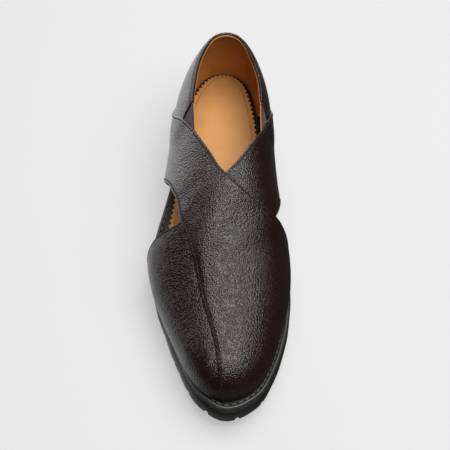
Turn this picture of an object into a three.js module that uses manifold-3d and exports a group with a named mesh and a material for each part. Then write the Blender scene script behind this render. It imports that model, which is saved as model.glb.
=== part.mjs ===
// Peshawari chappal for the right foot: an open-sided leather shoe whose two vamp panels cross
// over the instep, with a heel counter, two elastic gores, a welted stack and a lugged sole.
// Millimetres. The toe points to -Y, the medial side is +X, the floor is z = 0.

import * as THREE from "three";
import { toCreasedNormals } from "three/addons/utils/BufferGeometryUtils.js";
import Module from "manifold-3d";

const wasm = await Module();
wasm.setup();
const { Manifold, Mesh } = wasm;

// Main sizes
const SOLE_LENGTH = 294;
const HEEL_MARGIN = 2.5;
const TOE_MARGIN = 8.5;
const BALL_WIDTH = 106.5;
const INSTEP_HEIGHT = 71.5;
const HEEL_LENGTH = 77;
const HEEL_HEIGHT = 22;
const TOE_SPRING = 8.5;
const HEEL_CURVE = 4.5;
const HEEL_CURVE_HEIGHT = 56;
const COLLAR_HEIGHT = 56;
const MEDIAL_RISE = 3;
const MEDIAL_LEAN = 0.08;
const TUCK_HEIGHT = 24;
const SQUARENESS = 2.3;
const GIRTH_PER_HEIGHT = 2.4;
const CURVE_TURN = 0.6;
const CURVE_LIMIT = 1.3;
const CURVE_TO = 0.3;
const CURVE_FADE = 1.5;
const LEAN_FROM = 0.2;
const LEAN_TO = 0.6;
const RISE_TO = 0.1;

// Leather and fits
const WALL = 1.6;
const OVERLAP_RISE = 1.1;
const OVERLAP_RAMP = 14;
const FIT = 0.3;
const GORE_THICKNESS = 1.2;
const GORE_SINK = 0.3;
const GORE_FOOT = 0.12;
const TRIM_DEPTH = 3.2;

// Stack, from the feather line down
const WELT_THICKNESS = 2.5;
const MIDSOLE_THICKNESS = 3;
const OUTSOLE_THICKNESS = 7.5;
const LUG_HEIGHT = 4.1;
const FOOTBED_RISE = 1;
const INSOLE_THICKNESS = 1.5;
const INSOLE_MARGIN = 4;
const INSOLE_SHIFT = 1.5;
const EDGE_ROUND = 0.9;
const WELT_ROUND = 0.45;
const WELT_INSET = 1;
const MIDSOLE_INSET = 0.8;
const OUTSOLE_STEP = 1.1;
const SHOULDER_FROM = 0.35;
const SHOULDER_TO = 0.45;
const HEEL_TAPER = 1.4;
const HEEL_STEP = 0.6;

// Tread
const LUG_DEPTH = 14;
const LUG_PITCH = 11.6;
const LUG_GAP = 3.6;
const LUG_FLARE = 1.1;
const LUG_ROOT = 2;
const LUG_NARROWING = 0.1;
const LUG_SIDE_STEP = 0.35;
const LUG_STEPS = 2;
const BAR_WIDTH = 30;
const BAR_LENGTH = 12;
const BAR_PITCH = 17.5;
const BAR_SHRINK = 0.09;
const BARS = 5;
const LUGS_FROM = 0.565;
const BARS_FROM = 0.635;
const HEEL_NOTCH_DEPTH = 9;
const HEEL_NOTCH_HEIGHT = 4.5;

// Mesh density
const STATIONS = 38;
const RIB_STEPS = 3;
const PANEL_COLUMNS = 12;
const COUNTER_COLUMNS = 26;
const COUNTER_ROWS = 8;
const GORE_CELLS = 5;
const DELTA = 0.001;
const CREASE = 0.5;

const UPPER_LENGTH = SOLE_LENGTH - HEEL_MARGIN - TOE_MARGIN;
const HEEL_Y = SOLE_LENGTH / 2 - HEEL_MARGIN;
const STACK = WELT_THICKNESS + MIDSOLE_THICKNESS + OUTSOLE_THICKNESS + 3 * FIT;
const FOREFOOT_STACK = STACK + LUG_HEIGHT;
const HEEL_STACK = STACK + FIT + HEEL_HEIGHT;

const table = (names, rows) => {
  const columns = {};
  names.forEach((name, k) => { columns[name] = rows.map((row) => row[k]); });
  return columns;
};

// Sections of the shoe's inside from heel to toe: widths as shares of the ball width,
// heights as shares of the instep height, square as a share of the squareness, tuck as the
// share of width lost at the feather line
const LAST = table(["at", "lateral", "medial", "ridge", "height", "square", "tuck"], [
  [0.000, 0.000, 0.000, 0.000, 0.923, 1.00, 0.12],
  [0.012, 0.130, 0.122, -0.004, 0.923, 1.00, 0.12],
  [0.035, 0.200, 0.190, -0.007, 0.923, 1.00, 0.12],
  [0.100, 0.302, 0.259, -0.009, 0.930, 1.00, 0.12],
  [0.200, 0.367, 0.306, 0.005, 0.923, 1.00, 0.12],
  [0.300, 0.396, 0.330, 0.014, 0.916, 0.96, 0.12],
  [0.400, 0.434, 0.358, 0.019, 0.944, 0.91, 0.12],
  [0.500, 0.480, 0.403, 0.009, 0.930, 0.89, 0.10],
  [0.600, 0.531, 0.449, 0.000, 0.811, 0.89, 0.07],
  [0.680, 0.500, 0.449, 0.000, 0.699, 0.93, 0.07],
  [0.760, 0.432, 0.416, 0.000, 0.594, 0.96, 0.07],
  [0.840, 0.349, 0.360, 0.000, 0.496, 1.00, 0.07],
  [0.910, 0.275, 0.302, 0.000, 0.406, 1.02, 0.09],
  [0.960, 0.195, 0.215, -0.009, 0.308, 1.02, 0.08],
  [0.988, 0.123, 0.126, -0.019, 0.182, 1.02, 0.07],
  [1.000, 0.028, -0.028, -0.028, 0.000, 1.02, 0.07],
]);

// Height of the feather line: shares of the heel stack at the back and of the toe spring ahead
const FEATHER = table(["at", "heel", "spring"], [
  [0.00, 1.000, 0.00],
  [0.12, 0.980, 0.00],
  [0.26, 0.850, 0.00],
  [0.45, 0.380, 0.00],
  [0.58, 0.055, 0.00],
  [0.63, 0.000, 0.00],
  [0.76, 0.000, 0.00],
  [0.85, 0.000, 0.26],
  [1.00, 0.000, 1.00],
]);

// Outline of the sole from heel to toe: half widths as shares of the ball width
const SOLE = table(["at", "lateral", "medial"], [
  [0.00, 0.000, 0.000],
  [0.01, 0.124, 0.120],
  [0.03, 0.204, 0.196],
  [0.08, 0.292, 0.270],
  [0.15, 0.342, 0.304],
  [0.25, 0.362, 0.322],
  [0.35, 0.382, 0.338],
  [0.42, 0.428, 0.370],
  [0.50, 0.484, 0.422],
  [0.56, 0.512, 0.443],
  [0.60, 0.502, 0.458],
  [0.65, 0.472, 0.463],
  [0.70, 0.443, 0.452],
  [0.75, 0.399, 0.436],
  [0.80, 0.360, 0.406],
  [0.85, 0.312, 0.369],
  [0.90, 0.262, 0.318],
  [0.95, 0.193, 0.248],
  [0.98, 0.114, 0.159],
  [1.00, -0.009, 0.009],
]);

// Ribs of the over panel: its front edge and its rear edge, as shares of length and girth
const OVER = table(["frontAt", "frontGirth", "rearAt", "rearGirth"], [
  [1.000, 0.430, 1.000, 1.000],
  [0.968, 0.439, 0.965, 1.000],
  [0.912, 0.432, 0.905, 1.000],
  [0.860, 0.417, 0.850, 1.000],
  [0.800, 0.394, 0.780, 1.000],
  [0.745, 0.379, 0.705, 1.000],
  [0.691, 0.372, 0.640, 1.000],
  [0.650, 0.357, 0.592, 1.000],
  [0.610, 0.338, 0.550, 0.888],
  [0.573, 0.307, 0.546, 0.752],
  [0.540, 0.278, 0.530, 0.620],
  [0.510, 0.254, 0.476, 0.475],
  [0.475, 0.212, 0.409, 0.395],
  [0.445, 0.176, 0.328, 0.301],
  [0.415, 0.125, 0.268, 0.216],
  [0.388, 0.070, 0.196, 0.085],
  [0.365, 0.000, 0.100, 0.000],
]);

// Ribs of the under panel
const UNDER = table(["frontAt", "frontGirth", "rearAt", "rearGirth"], [
  [1.000, 0.500, 1.000, 0.000],
  [0.968, 0.500, 0.965, 0.000],
  [0.912, 0.500, 0.905, 0.000],
  [0.860, 0.490, 0.850, 0.000],
  [0.800, 0.470, 0.780, 0.000],
  [0.745, 0.455, 0.710, 0.000],
  [0.690, 0.460, 0.650, 0.000],
  [0.645, 0.500, 0.606, 0.000],
  [0.605, 0.590, 0.582, 0.140],
  [0.578, 0.670, 0.583, 0.236],
  [0.558, 0.725, 0.576, 0.301],
  [0.536, 0.775, 0.535, 0.385],
  [0.505, 0.822, 0.476, 0.475],
  [0.475, 0.865, 0.397, 0.590],
  [0.450, 0.905, 0.311, 0.720],
  [0.432, 0.940, 0.256, 0.790],
  [0.418, 0.970, 0.180, 0.910],
  [0.405, 1.000, 0.100, 1.000],
]);

// Front edge of the counter, hidden under the straps below the gore: share of its height
// against the share of length
const COUNTER_EDGE = table(["height", "at"], [
  [0.00, 0.140],
  [0.25, 0.200],
  [0.45, 0.250],
  [0.65, 0.285],
  [0.81, 0.270],
  [1.00, 0.235],
]);

// Collar height of the counter as a share of its height at the back
const COLLAR = table(["at", "height"], [
  [0.00, 1.000],
  [0.05, 0.990],
  [0.12, 0.945],
  [0.20, 0.925],
  [0.30, 0.930],
]);

// Where the over panel lies on the under panel
const CROSSING = [
  [0.576, 0.303], [0.476, 0.475], [0.530, 0.620], [0.546, 0.752], [0.558, 0.725],
  [0.578, 0.670], [0.605, 0.590], [0.645, 0.500], [0.690, 0.460], [0.745, 0.455],
  [0.800, 0.470], [0.860, 0.490], [0.912, 0.500], [0.968, 0.500], [1.000, 0.500],
  [1.000, 0.430], [0.968, 0.439], [0.912, 0.432], [0.860, 0.417], [0.800, 0.394],
  [0.745, 0.379], [0.691, 0.372], [0.650, 0.357], [0.610, 0.338],
];

// Where the lateral strap lies on the counter; the medial strap is its mirror in girth
const STRAP_SEAT = [
  [0.100, 0.000], [0.196, 0.085], [0.268, 0.216], [0.285, 0.180],
  [0.255, 0.100], [0.205, 0.050], [0.150, 0.000],
];

// Notches of the rim round the toe: runs from the tip as shares of the ball width
const TOE_NOTCHES = table(["run"], [[-0.526], [-0.357], [-0.150], [0.080], [0.300], [0.526]]);

// Outline of a tread bar: shares of its half width and of its half length
const BAR = table(["x", "y"], [
  [-1, 1], [-0.6, 0.75], [0.6, 0.75], [1, 1], [1, -1], [0.6, -1.25], [-0.6, -1.25], [-1, -1],
]);

// Corners of the gores: share of length and girth, at the collar, on the strap and at the foot
const GORE_LATERAL = { collar: [0.224, 0.266], strap: [0.345, 0.303], foot: [0.270, 0.190] };
const GORE_MEDIAL = { collar: [0.224, 0.722], strap: [0.325, 0.712], foot: [0.256, 0.810] };

const clamp = (value, low = 0, high = 1) => Math.min(high, Math.max(low, value));

const smooth = (value) => {
  const t = clamp(value);
  return t * t * (3 - 2 * t);
};

const mix = (a, b, t) => a + (b - a) * t;

const slopes = (keys, values) => keys.map((key, k) => {
  const before = Math.max(0, k - 1);
  const after = Math.min(keys.length - 1, k + 1);
  const rise = (i) => (values[i + 1] - values[i]) / (keys[i + 1] - keys[i]);
  if (before === k || after === k) return rise(before);
  const back = keys[k] - keys[before];
  const ahead = keys[after] - keys[k];
  return (rise(before) * ahead + rise(k) * back) / (back + ahead);
});

// Smooth curve through the rows of a table
const curve = (keys, values) => {
  const slope = slopes(keys, values);
  return (at) => {
    const x = clamp(at, keys[0], keys[keys.length - 1]);
    let i = 0;
    while (i < keys.length - 2 && x > keys[i + 1]) i += 1;
    const step = keys[i + 1] - keys[i];
    const t = (x - keys[i]) / step;
    const rest = 1 - t;
    return (1 + 2 * t) * rest * rest * values[i] + t * rest * rest * step * slope[i]
      + t * t * (3 - 2 * t) * values[i + 1] - t * t * rest * step * slope[i + 1];
  };
};

const stationOf = (share) => Math.acos(1 - 2 * clamp(share)) / Math.PI;
const shareOf = (station) => (1 - Math.cos(Math.PI * station)) / 2;

const lastStations = LAST.at.map(stationOf);
const lateral = curve(lastStations, LAST.lateral.map((w) => w * BALL_WIDTH));
const medial = curve(lastStations, LAST.medial.map((w) => w * BALL_WIDTH));
const ridge = curve(lastStations, LAST.ridge.map((w) => w * BALL_WIDTH));
const height = curve(lastStations, LAST.height.map((h) => h * INSTEP_HEIGHT));
const square = curve(lastStations, LAST.square.map((share) => share * SQUARENESS));
const tuck = curve(lastStations, LAST.tuck);

const heelRise = HEEL_STACK - FOREFOOT_STACK;
const feather = curve(FEATHER.at, FEATHER.at.map((at, k) =>
  FOREFOOT_STACK + heelRise * FEATHER.heel[k] + TOE_SPRING * FEATHER.spring[k]));

const yOf = (share) => HEEL_Y - UPPER_LENGTH * share;
const shareAt = (y) => clamp((HEEL_Y - y) / UPPER_LENGTH);
const featherAt = (y) => feather(shareAt(y));

// Moves a section point into the shoe's frame, with the curve of the heel and the lean
const place = (share, x, above) => {
  const t = clamp(above / HEEL_CURVE_HEIGHT, 0, CURVE_LIMIT);
  const back = 4 * HEEL_CURVE * t * (CURVE_TURN - t) * clamp(1 - share / CURVE_TO) ** CURVE_FADE;
  const lean = MEDIAL_LEAN * above * smooth(share / LEAN_FROM) * clamp(1 - share / LEAN_TO);
  return new THREE.Vector3(x + lean, yOf(share) + back, feather(share) + above);
};

// Half width of a section at a height, as a share of its widest
const fullness = (station, above) =>
  1 - tuck(station) * clamp(1 - above / TUCK_HEIGHT) ** 2;

const onLast = (station, girth) => {
  const angle = Math.PI * girth;
  const power = 2 / square(station);
  const cos = Math.abs(Math.cos(angle)) ** power;
  const above = Math.max(0, height(station)) * Math.sin(angle) ** power;
  const edge = girth < 0.5 ? -lateral(station) : medial(station);
  const x = ridge(station) + (edge * fullness(station, above) - ridge(station)) * cos;
  return place(shareOf(station), x, above);
};

// Wall of the shoe at a height over the feather line: side -1 is lateral, 1 is medial
const onWall = (side, station, above) => {
  const n = square(station);
  const cos = clamp(1 - clamp(above / height(station)) ** n) ** (1 / n);
  const edge = side < 0 ? -lateral(station) : medial(station);
  const x = ridge(station) + (edge * fullness(station, above) - ridge(station)) * cos;
  return place(shareOf(station), x, above);
};

const acrossLast = (station, girth) => {
  const u = clamp(station, DELTA, 1 - DELTA);
  const v = clamp(girth, DELTA, 1 - DELTA);
  const alongU = onLast(u + DELTA, v).sub(onLast(u - DELTA, v));
  const alongV = onLast(u, v + DELTA).sub(onLast(u, v - DELTA));
  return alongU.cross(alongV).normalize();
};

// Distance in millimetres from a point of the last's surface to a patch of it
const distanceTo = (patch, share, girth) => {
  const round = GIRTH_PER_HEIGHT * Math.max(1, height(stationOf(share)));
  const flat = patch.map(([at, v]) => new THREE.Vector2((at - share) * UPPER_LENGTH,
    (v - girth) * round));
  let inside = false;
  let nearest = Infinity;
  flat.forEach((a, k) => {
    const b = flat[(k + 1) % flat.length];
    if ((a.y > 0) !== (b.y > 0) && (b.x - a.x) * -a.y / (b.y - a.y) + a.x > 0) inside = !inside;
    const edge = b.clone().sub(a);
    const t = clamp(-a.dot(edge) / Math.max(edge.lengthSq(), DELTA));
    nearest = Math.min(nearest, edge.multiplyScalar(t).add(a).length());
  });
  return inside ? 0 : nearest;
};

const mirrored = (patch) => patch.map(([at, v]) => [at, 1 - v]);

const riseNear = (patches) => (share, girth) => Math.max(...patches.map((patch) =>
  OVERLAP_RISE * (1 - smooth(distanceTo(patch, share, girth) / OVERLAP_RAMP))));

// Turns rows of points with equal indices for equal corners into a closed solid
class Skin {
  constructor() {
    this.points = [];
    this.faces = [];
  }

  add(point) {
    this.points.push(point);
    return this.points.length - 1;
  }

  triangle(a, b, c) {
    if (a !== b && b !== c && c !== a) this.faces.push([a, b, c]);
  }

  quad(a, b, c, d) {
    this.triangle(a, b, c);
    this.triangle(a, c, d);
  }

  solid() {
    const volume = this.faces.reduce((sum, [a, b, c]) =>
      sum + this.points[a].dot(this.points[b].clone().cross(this.points[c])), 0);
    const faces = volume < 0 ? this.faces.map(([a, b, c]) => [a, c, b]) : this.faces;
    return new Manifold(new Mesh({
      numProp: 3,
      vertProperties: new Float32Array(this.points.flatMap((p) => [p.x, p.y, p.z])),
      triVerts: new Uint32Array(faces.flat()),
    }));
  }
}

// Closed shell between two grids of points: pole says that the first row is one point
const shell = (inner, outer, pole) => {
  const skin = new Skin();
  const index = [inner, outer].map((grid) => grid.map((row, i) => {
    if (i > 0 || !pole) return row.map((point) => skin.add(point));
    const tip = skin.add(row[0]);
    return row.map(() => tip);
  }));
  const [low, high] = index;
  const rows = low.length - 1;
  const columns = low[0].length - 1;
  for (let i = 0; i < rows; i += 1) {
    for (let j = 0; j < columns; j += 1) {
      skin.quad(high[i][j], high[i + 1][j], high[i + 1][j + 1], high[i][j + 1]);
      skin.quad(low[i][j], low[i][j + 1], low[i + 1][j + 1], low[i + 1][j]);
    }
    skin.quad(low[i][0], low[i + 1][0], high[i + 1][0], high[i][0]);
    skin.quad(high[i][columns], high[i + 1][columns], low[i + 1][columns], low[i][columns]);
  }
  for (let j = 0; j < columns; j += 1) {
    skin.quad(low[0][j], high[0][j], high[0][j + 1], low[0][j + 1]);
    skin.quad(high[rows][j], low[rows][j], low[rows][j + 1], high[rows][j + 1]);
  }
  return skin.solid();
};

// A vamp panel: its ribs run from its front edge to its rear edge, each lying on the last.
// The form that trims a gore reaches further: by grow past the edges and by deep each way
const panel = (ribs, rise, grow = 0, deep = 0) => {
  const inner = [];
  const outer = [];
  const count = ribs.frontAt.length - 1;
  for (let i = 0; i <= count * RIB_STEPS; i += 1) {
    const rib = Math.min(count - 1, Math.floor(i / RIB_STEPS));
    const t = i / RIB_STEPS - rib;
    const read = (name) => mix(ribs[name][rib], ribs[name][rib + 1], t);
    const readStation = (name) =>
      mix(stationOf(ribs[name][rib]), stationOf(ribs[name][rib + 1]), t);
    const low = [];
    const high = [];
    const ends = ["front", "rear"].map((end) =>
      onLast(readStation(`${end}At`), read(`${end}Girth`)));
    const more = grow / Math.max(grow + DELTA, ends[0].distanceTo(ends[1]));
    for (let j = 0; j <= PANEL_COLUMNS; j += 1) {
      const across = mix(-more, 1 + more, j / PANEL_COLUMNS);
      const station = mix(readStation("frontAt"), readStation("rearAt"), across);
      const girth = clamp(mix(read("frontGirth"), read("rearGirth"), across));
      const point = onLast(station, girth);
      const normal = i === 0 ? new THREE.Vector3(0, -1, 0) : acrossLast(station, girth);
      const lift = rise(shareOf(station), girth);
      low.push(point.clone().addScaledVector(normal, lift - deep));
      high.push(point.clone().addScaledVector(normal, lift + WALL + deep));
    }
    inner.push(low);
    outer.push(high);
  }
  return shell(inner, outer, true);
};

// The heel counter: it wraps the heel from one front edge to the other
const counterEdge = curve(COUNTER_EDGE.height, COUNTER_EDGE.at);
const collar = curve(COLLAR.at, COLLAR.height);

const counter = (grow = 0, deep = 0) => {
  const point = (around, up) => {
    const side = around < 0 ? -1 : 1;
    const share = shareOf(Math.abs(around) * stationOf(counterEdge(up)));
    const rise = side > 0 ? MEDIAL_RISE * smooth(share / RISE_TO) : 0;
    return onWall(side, stationOf(share), up * (COLLAR_HEIGHT * collar(share) + rise));
  };
  const inner = [];
  const outer = [];
  for (let i = 0; i <= COUNTER_COLUMNS; i += 1) {
    const around = (2 * i / COUNTER_COLUMNS - 1) * (1 + grow / HEEL_LENGTH);
    const low = [];
    const high = [];
    for (let j = 0; j <= COUNTER_ROWS; j += 1) {
      const up = clamp(j / COUNTER_ROWS, DELTA, 1 - DELTA);
      const at = around;
      const along = point(at + DELTA, up).sub(point(at - DELTA, up));
      const rising = point(at, up + DELTA).sub(point(at, up - DELTA));
      const normal = rising.cross(along).normalize();
      if (normal.y * (1 - Math.abs(around)) + normal.x * around < 0) normal.negate();
      const base = point(around, j / COUNTER_ROWS);
      low.push(base.clone().addScaledVector(normal, -deep));
      high.push(base.clone().addScaledVector(normal, WALL + deep));
    }
    inner.push(low);
    outer.push(high);
  }
  return shell(inner, outer, false);
};

// An elastic gore: a patch of the last's surface between three corners, trimmed to the notch
const gore = ({ collar: top, strap, foot }, ribs, seat) => {
  const inner = [];
  const outer = [];
  for (let i = 0; i <= GORE_CELLS; i += 1) {
    const low = [];
    const high = [];
    for (let j = 0; j <= GORE_CELLS; j += 1) {
      const up = mix(GORE_FOOT, 1, j / GORE_CELLS);
      const corner = (k) => mix(foot[k], mix(top[k], strap[k], i / GORE_CELLS), up);
      const station = stationOf(corner(0));
      const point = onLast(station, corner(1));
      const normal = acrossLast(station, corner(1));
      low.push(point.clone().addScaledVector(normal, -GORE_SINK));
      high.push(point.clone().addScaledVector(normal, GORE_THICKNESS - GORE_SINK));
    }
    inner.push(low);
    outer.push(high);
  }
  return shell(inner, outer, false)
    .subtract(panel(ribs, riseNear([seat]), FIT, TRIM_DEPTH))
    .subtract(counter(FIT, TRIM_DEPTH));
};

// Outlines run along both sides from heel to toe: each row is [lateral point, medial point]
const outlineFrom = (heelY, length, left, right) => {
  const rows = [];
  for (let i = 0; i <= STATIONS; i += 1) {
    const station = i / STATIONS;
    const y = heelY - length * shareOf(station);
    rows.push([new THREE.Vector2(-left(station), y), new THREE.Vector2(right(station), y)]);
  }
  return rows;
};

const soleStations = SOLE.at.map(stationOf);
const soleOutline = outlineFrom(SOLE_LENGTH / 2, SOLE_LENGTH,
  curve(soleStations, SOLE.lateral.map((w) => w * BALL_WIDTH)),
  curve(soleStations, SOLE.medial.map((w) => w * BALL_WIDTH)));
const featherOutline = outlineFrom(HEEL_Y, UPPER_LENGTH,
  (station) => lateral(station) * fullness(station, 0),
  (station) => medial(station) * fullness(station, 0));

// Moves an outline inward by a distance
const inset = (rows, distance) => {
  const last = rows.length - 1;
  return rows.map((row, i) => row.map((point, side) => {
    if (i === 0 || i === last) {
      return new THREE.Vector2(point.x, point.y + (i === 0 ? -distance : distance));
    }
    const along = rows[i + 1][side].clone().sub(rows[i - 1][side]).normalize();
    const inward = side === 0 ? new THREE.Vector2(-along.y, along.x)
      : new THREE.Vector2(along.y, -along.x);
    return point.clone().addScaledVector(inward, distance);
  }));
};

// A layer of the stack: levels from top to bottom, each an outline and its height at a y
const layer = (levels) => {
  const skin = new Skin();
  const index = levels.map(({ outline, z }) => outline.map((row, i) => {
    const corner = (p) => skin.add(new THREE.Vector3(p.x, p.y, z(p.y)));
    if (i > 0 && i < outline.length - 1) return row.map(corner);
    const tip = corner(row[0]);
    return [tip, tip];
  }));
  const cap = (rows, up) => {
    for (let i = 0; i < rows.length - 1; i += 1) {
      const [a, b] = rows[i];
      const [c, d] = rows[i + 1];
      if (up) skin.quad(a, c, d, b);
      else skin.quad(a, b, d, c);
    }
  };
  cap(index[0], true);
  cap(index[index.length - 1], false);
  for (let k = 0; k < index.length - 1; k += 1) {
    for (let i = 0; i < index[k].length - 1; i += 1) {
      const [top, low] = [index[k], index[k + 1]];
      skin.quad(top[i][0], low[i][0], low[i + 1][0], top[i + 1][0]);
      skin.quad(top[i][1], top[i + 1][1], low[i + 1][1], low[i][1]);
    }
  }
  return skin.solid();
};

const below = (depth) => (y) => featherAt(y) - depth;

const edged = (outline, top, bottom, round = EDGE_ROUND) => layer([
  { outline: inset(outline, round), z: below(top) },
  { outline, z: below(top + round) },
  { outline, z: below(bottom - round) },
  { outline: inset(outline, round), z: below(bottom) },
]);

const weltTop = FIT;
const weltBottom = weltTop + WELT_THICKNESS;
const midsoleTop = weltBottom + FIT;
const midsoleBottom = midsoleTop + MIDSOLE_THICKNESS;
const outsoleTop = midsoleBottom + FIT;
const outsoleBottom = outsoleTop + OUTSOLE_THICKNESS;
const heelTop = outsoleBottom + FIT;
const ground = (y) => Math.max(0, featherAt(y) - FOREFOOT_STACK);

// Footbed and insole lie inside the upper; the welt is a ring around the footbed
const footbedOutline = inset(featherOutline, FIT);
const plate = (outline, top, bottom) => layer([
  { outline, z: below(-top) },
  { outline, z: below(-bottom) },
]);

const footbed = plate(footbedOutline, FOOTBED_RISE, -weltBottom);
const insoleOutline = inset(featherOutline, INSOLE_MARGIN)
  .map((row) => row.map((point) => new THREE.Vector2(point.x, point.y + INSOLE_SHIFT)));
const insole = plate(insoleOutline, FOOTBED_RISE + FIT + INSOLE_THICKNESS, FOOTBED_RISE + FIT);
const weltHole = plate(featherOutline, WELT_THICKNESS, -weltBottom - WELT_THICKNESS);
const welt = edged(inset(soleOutline, WELT_INSET), weltTop, weltBottom, WELT_ROUND)
  .subtract(weltHole);
const midsole = edged(inset(soleOutline, MIDSOLE_INSET), midsoleTop, midsoleBottom);

// Lugs follow the rim of the sole from the lateral side round the toe to the medial side: a
// run is measured from the tip, medial runs are positive
const rim = inset(soleOutline, LUG_SIDE_STEP);
const rimPath = [...rim.map((row) => row[0]), ...rim.slice(0, -1).reverse().map((row) => row[1])];
const rimRuns = [0];
rimPath.slice(1).forEach((point, k) => {
  rimRuns.push(rimRuns[k] + point.distanceTo(rimPath[k]));
});
const tipRun = rimRuns[rim.length - 1];
const onRim = (run) => {
  const walked = tipRun + run;
  let i = 0;
  while (i < rimRuns.length - 2 && walked > rimRuns[i + 1]) i += 1;
  const t = clamp((walked - rimRuns[i]) / (rimRuns[i + 1] - rimRuns[i]));
  return rimPath[i].clone().lerp(rimPath[i + 1], t);
};

const prism = (high, low, top, bottom) => {
  const skin = new Skin();
  const upper = high.map((p) => skin.add(new THREE.Vector3(p.x, p.y, top(p.y))));
  const lower = low.map((p) => skin.add(new THREE.Vector3(p.x, p.y, bottom(p.y))));
  const count = high.length;
  for (let k = 0; k < count; k += 1) {
    const next = (k + 1) % count;
    skin.quad(upper[k], lower[k], lower[next], upper[next]);
    if (k > 0 && k < count - 1) {
      skin.triangle(upper[0], upper[k], upper[k + 1]);
      skin.triangle(lower[0], lower[k + 1], lower[k]);
    }
  }
  return skin.solid();
};

const lugRoot = (y) => featherAt(y) - outsoleBottom + LUG_ROOT;

// A lug between two runs of the rim, longer at its root by a flare at each end
const edgeLug = (from, to) => {
  const shrink = (to - from) * LUG_NARROWING;
  const inner = (run, pull) => {
    const along = onRim(run + LUG_GAP).sub(onRim(run - LUG_GAP)).normalize();
    return onRim(run).addScaledVector(new THREE.Vector2(-along.y, along.x), LUG_DEPTH)
      .addScaledVector(along, pull);
  };
  const ring = (flare) => {
    const outer = Array.from({ length: LUG_STEPS + 1 }, (unused, k) =>
      onRim(mix(from - flare, to + flare, k / LUG_STEPS)));
    return [...outer, inner(to + flare, -shrink), inner(from - flare, shrink)];
  };
  return prism(ring(LUG_FLARE), ring(0), lugRoot, ground);
};

// Notches between the lugs: as tabled round the toe, then at the pitch back to the waist
const rimNotches = () => {
  const notches = TOE_NOTCHES.run.map((share) => share * BALL_WIDTH);
  const reach = tipRun * (1 - LUGS_FROM);
  while (notches[0] - LUG_PITCH > -reach) notches.unshift(notches[0] - LUG_PITCH);
  while (notches[notches.length - 1] + LUG_PITCH < reach) {
    notches.push(notches[notches.length - 1] + LUG_PITCH);
  }
  return notches;
};

const edgeLugs = rimNotches().slice(1).map((notch, k) =>
  edgeLug(rimNotches()[k] + LUG_GAP / 2, notch - LUG_GAP / 2));

// A bar across the middle of the tread, each shorter than the one behind it
const bar = (k) => {
  const y = SOLE_LENGTH * (1 / 2 - BARS_FROM) - k * BAR_PITCH;
  const row = soleOutline.findIndex((ends) => ends[0].y < y);
  const middle = (soleOutline[row][0].x + soleOutline[row][1].x) / 2;
  const half = BAR_WIDTH / 2 * (1 - BAR_SHRINK * k);
  const corners = BAR.x.map((x, n) =>
    new THREE.Vector2(middle + half * x, y + BAR.y[n] * BAR_LENGTH / 2));
  return prism(corners, corners, lugRoot, ground);
};

const outsoleBody = layer([
  { outline: inset(soleOutline, OUTSOLE_STEP), z: below(outsoleTop) },
  { outline: inset(soleOutline, OUTSOLE_STEP), z: below(outsoleTop + OUTSOLE_THICKNESS * SHOULDER_FROM) },
  { outline: soleOutline, z: below(outsoleTop + OUTSOLE_THICKNESS * SHOULDER_TO) },
  { outline: soleOutline, z: below(outsoleBottom) },
]);

const outsole = Manifold.union([
  outsoleBody,
  ...edgeLugs,
  ...Array.from({ length: BARS }, (unused, k) => bar(k)),
]);

// Heel block: the back of the sole's outline down to the floor, with notches round its foot
const heelBreast = SOLE_LENGTH / 2 - HEEL_LENGTH;
const heelBody = layer([
  { outline: inset(soleOutline, HEEL_STEP), z: below(heelTop) },
  { outline: inset(soleOutline, HEEL_STEP + HEEL_TAPER), z: () => 0 },
]);

const heelSpace = Manifold.cube([2 * BALL_WIDTH, HEEL_LENGTH, 3 * HEEL_STACK])
  .translate([-BALL_WIDTH, heelBreast, -HEEL_STACK]);

const heelNotches = () => {
  const notches = [];
  const ring = inset(soleOutline, HEEL_STEP);
  const path = [...ring.map((row) => row[0]).reverse(), ...ring.slice(1).map((row) => row[1])]
    .filter((p) => p.y > heelBreast + LUG_GAP);
  let walked = LUG_PITCH / 2;
  for (let k = 1; k < path.length; k += 1) {
    const along = path[k].clone().sub(path[k - 1]);
    walked += along.length();
    if (walked < LUG_PITCH) continue;
    walked -= LUG_PITCH;
    along.normalize();
    const angle = Math.atan2(along.y, along.x) * 180 / Math.PI;
    notches.push(Manifold.cube([LUG_GAP, 2 * HEEL_NOTCH_DEPTH, 2 * HEEL_NOTCH_HEIGHT], true)
      .rotate([0, 0, angle])
      .translate([path[k].x, path[k].y, 0]));
  }
  return notches;
};

const heel = heelBody.intersect(heelSpace).subtract(Manifold.union(heelNotches()));

// The upper is one shell, trimmed level with the feather line where it meets the welt
const underFeather = layer([
  { outline: inset(soleOutline, -LUG_DEPTH), z: below(0) },
  { outline: inset(soleOutline, -LUG_DEPTH), z: below(STACK) },
]);

const upper = Manifold.union([
  panel(OVER, riseNear([CROSSING, STRAP_SEAT])),
  panel(UNDER, riseNear([mirrored(STRAP_SEAT)])),
  counter(),
]).subtract(underFeather);

const finishes = {
  leather: { color: 0x35231f, roughness: 0.55 },
  elastic: { color: 0x2e1f22, roughness: 0.9 },
  board: { color: 0x33231f, roughness: 0.7 },
  tan: { color: 0xc08a50, roughness: 0.6 },
  welt: { color: 0x1c1a19, roughness: 0.7 },
  edge: { color: 0x3a3835, roughness: 0.6 },
  rubber: { color: 0x191a1a, roughness: 0.8 },
};

const pieces = [
  ["outsole", outsole, finishes.rubber],
  ["heel", heel, finishes.rubber],
  ["midsole", midsole, finishes.edge],
  ["welt", welt, finishes.welt],
  ["footbed", footbed, finishes.board],
  ["insole", insole, finishes.tan],
  ["upper", upper, finishes.leather],
  ["gore_lateral", gore(GORE_LATERAL, OVER, STRAP_SEAT), finishes.elastic],
  ["gore_medial", gore(GORE_MEDIAL, UNDER, mirrored(STRAP_SEAT)), finishes.elastic],
];

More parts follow.
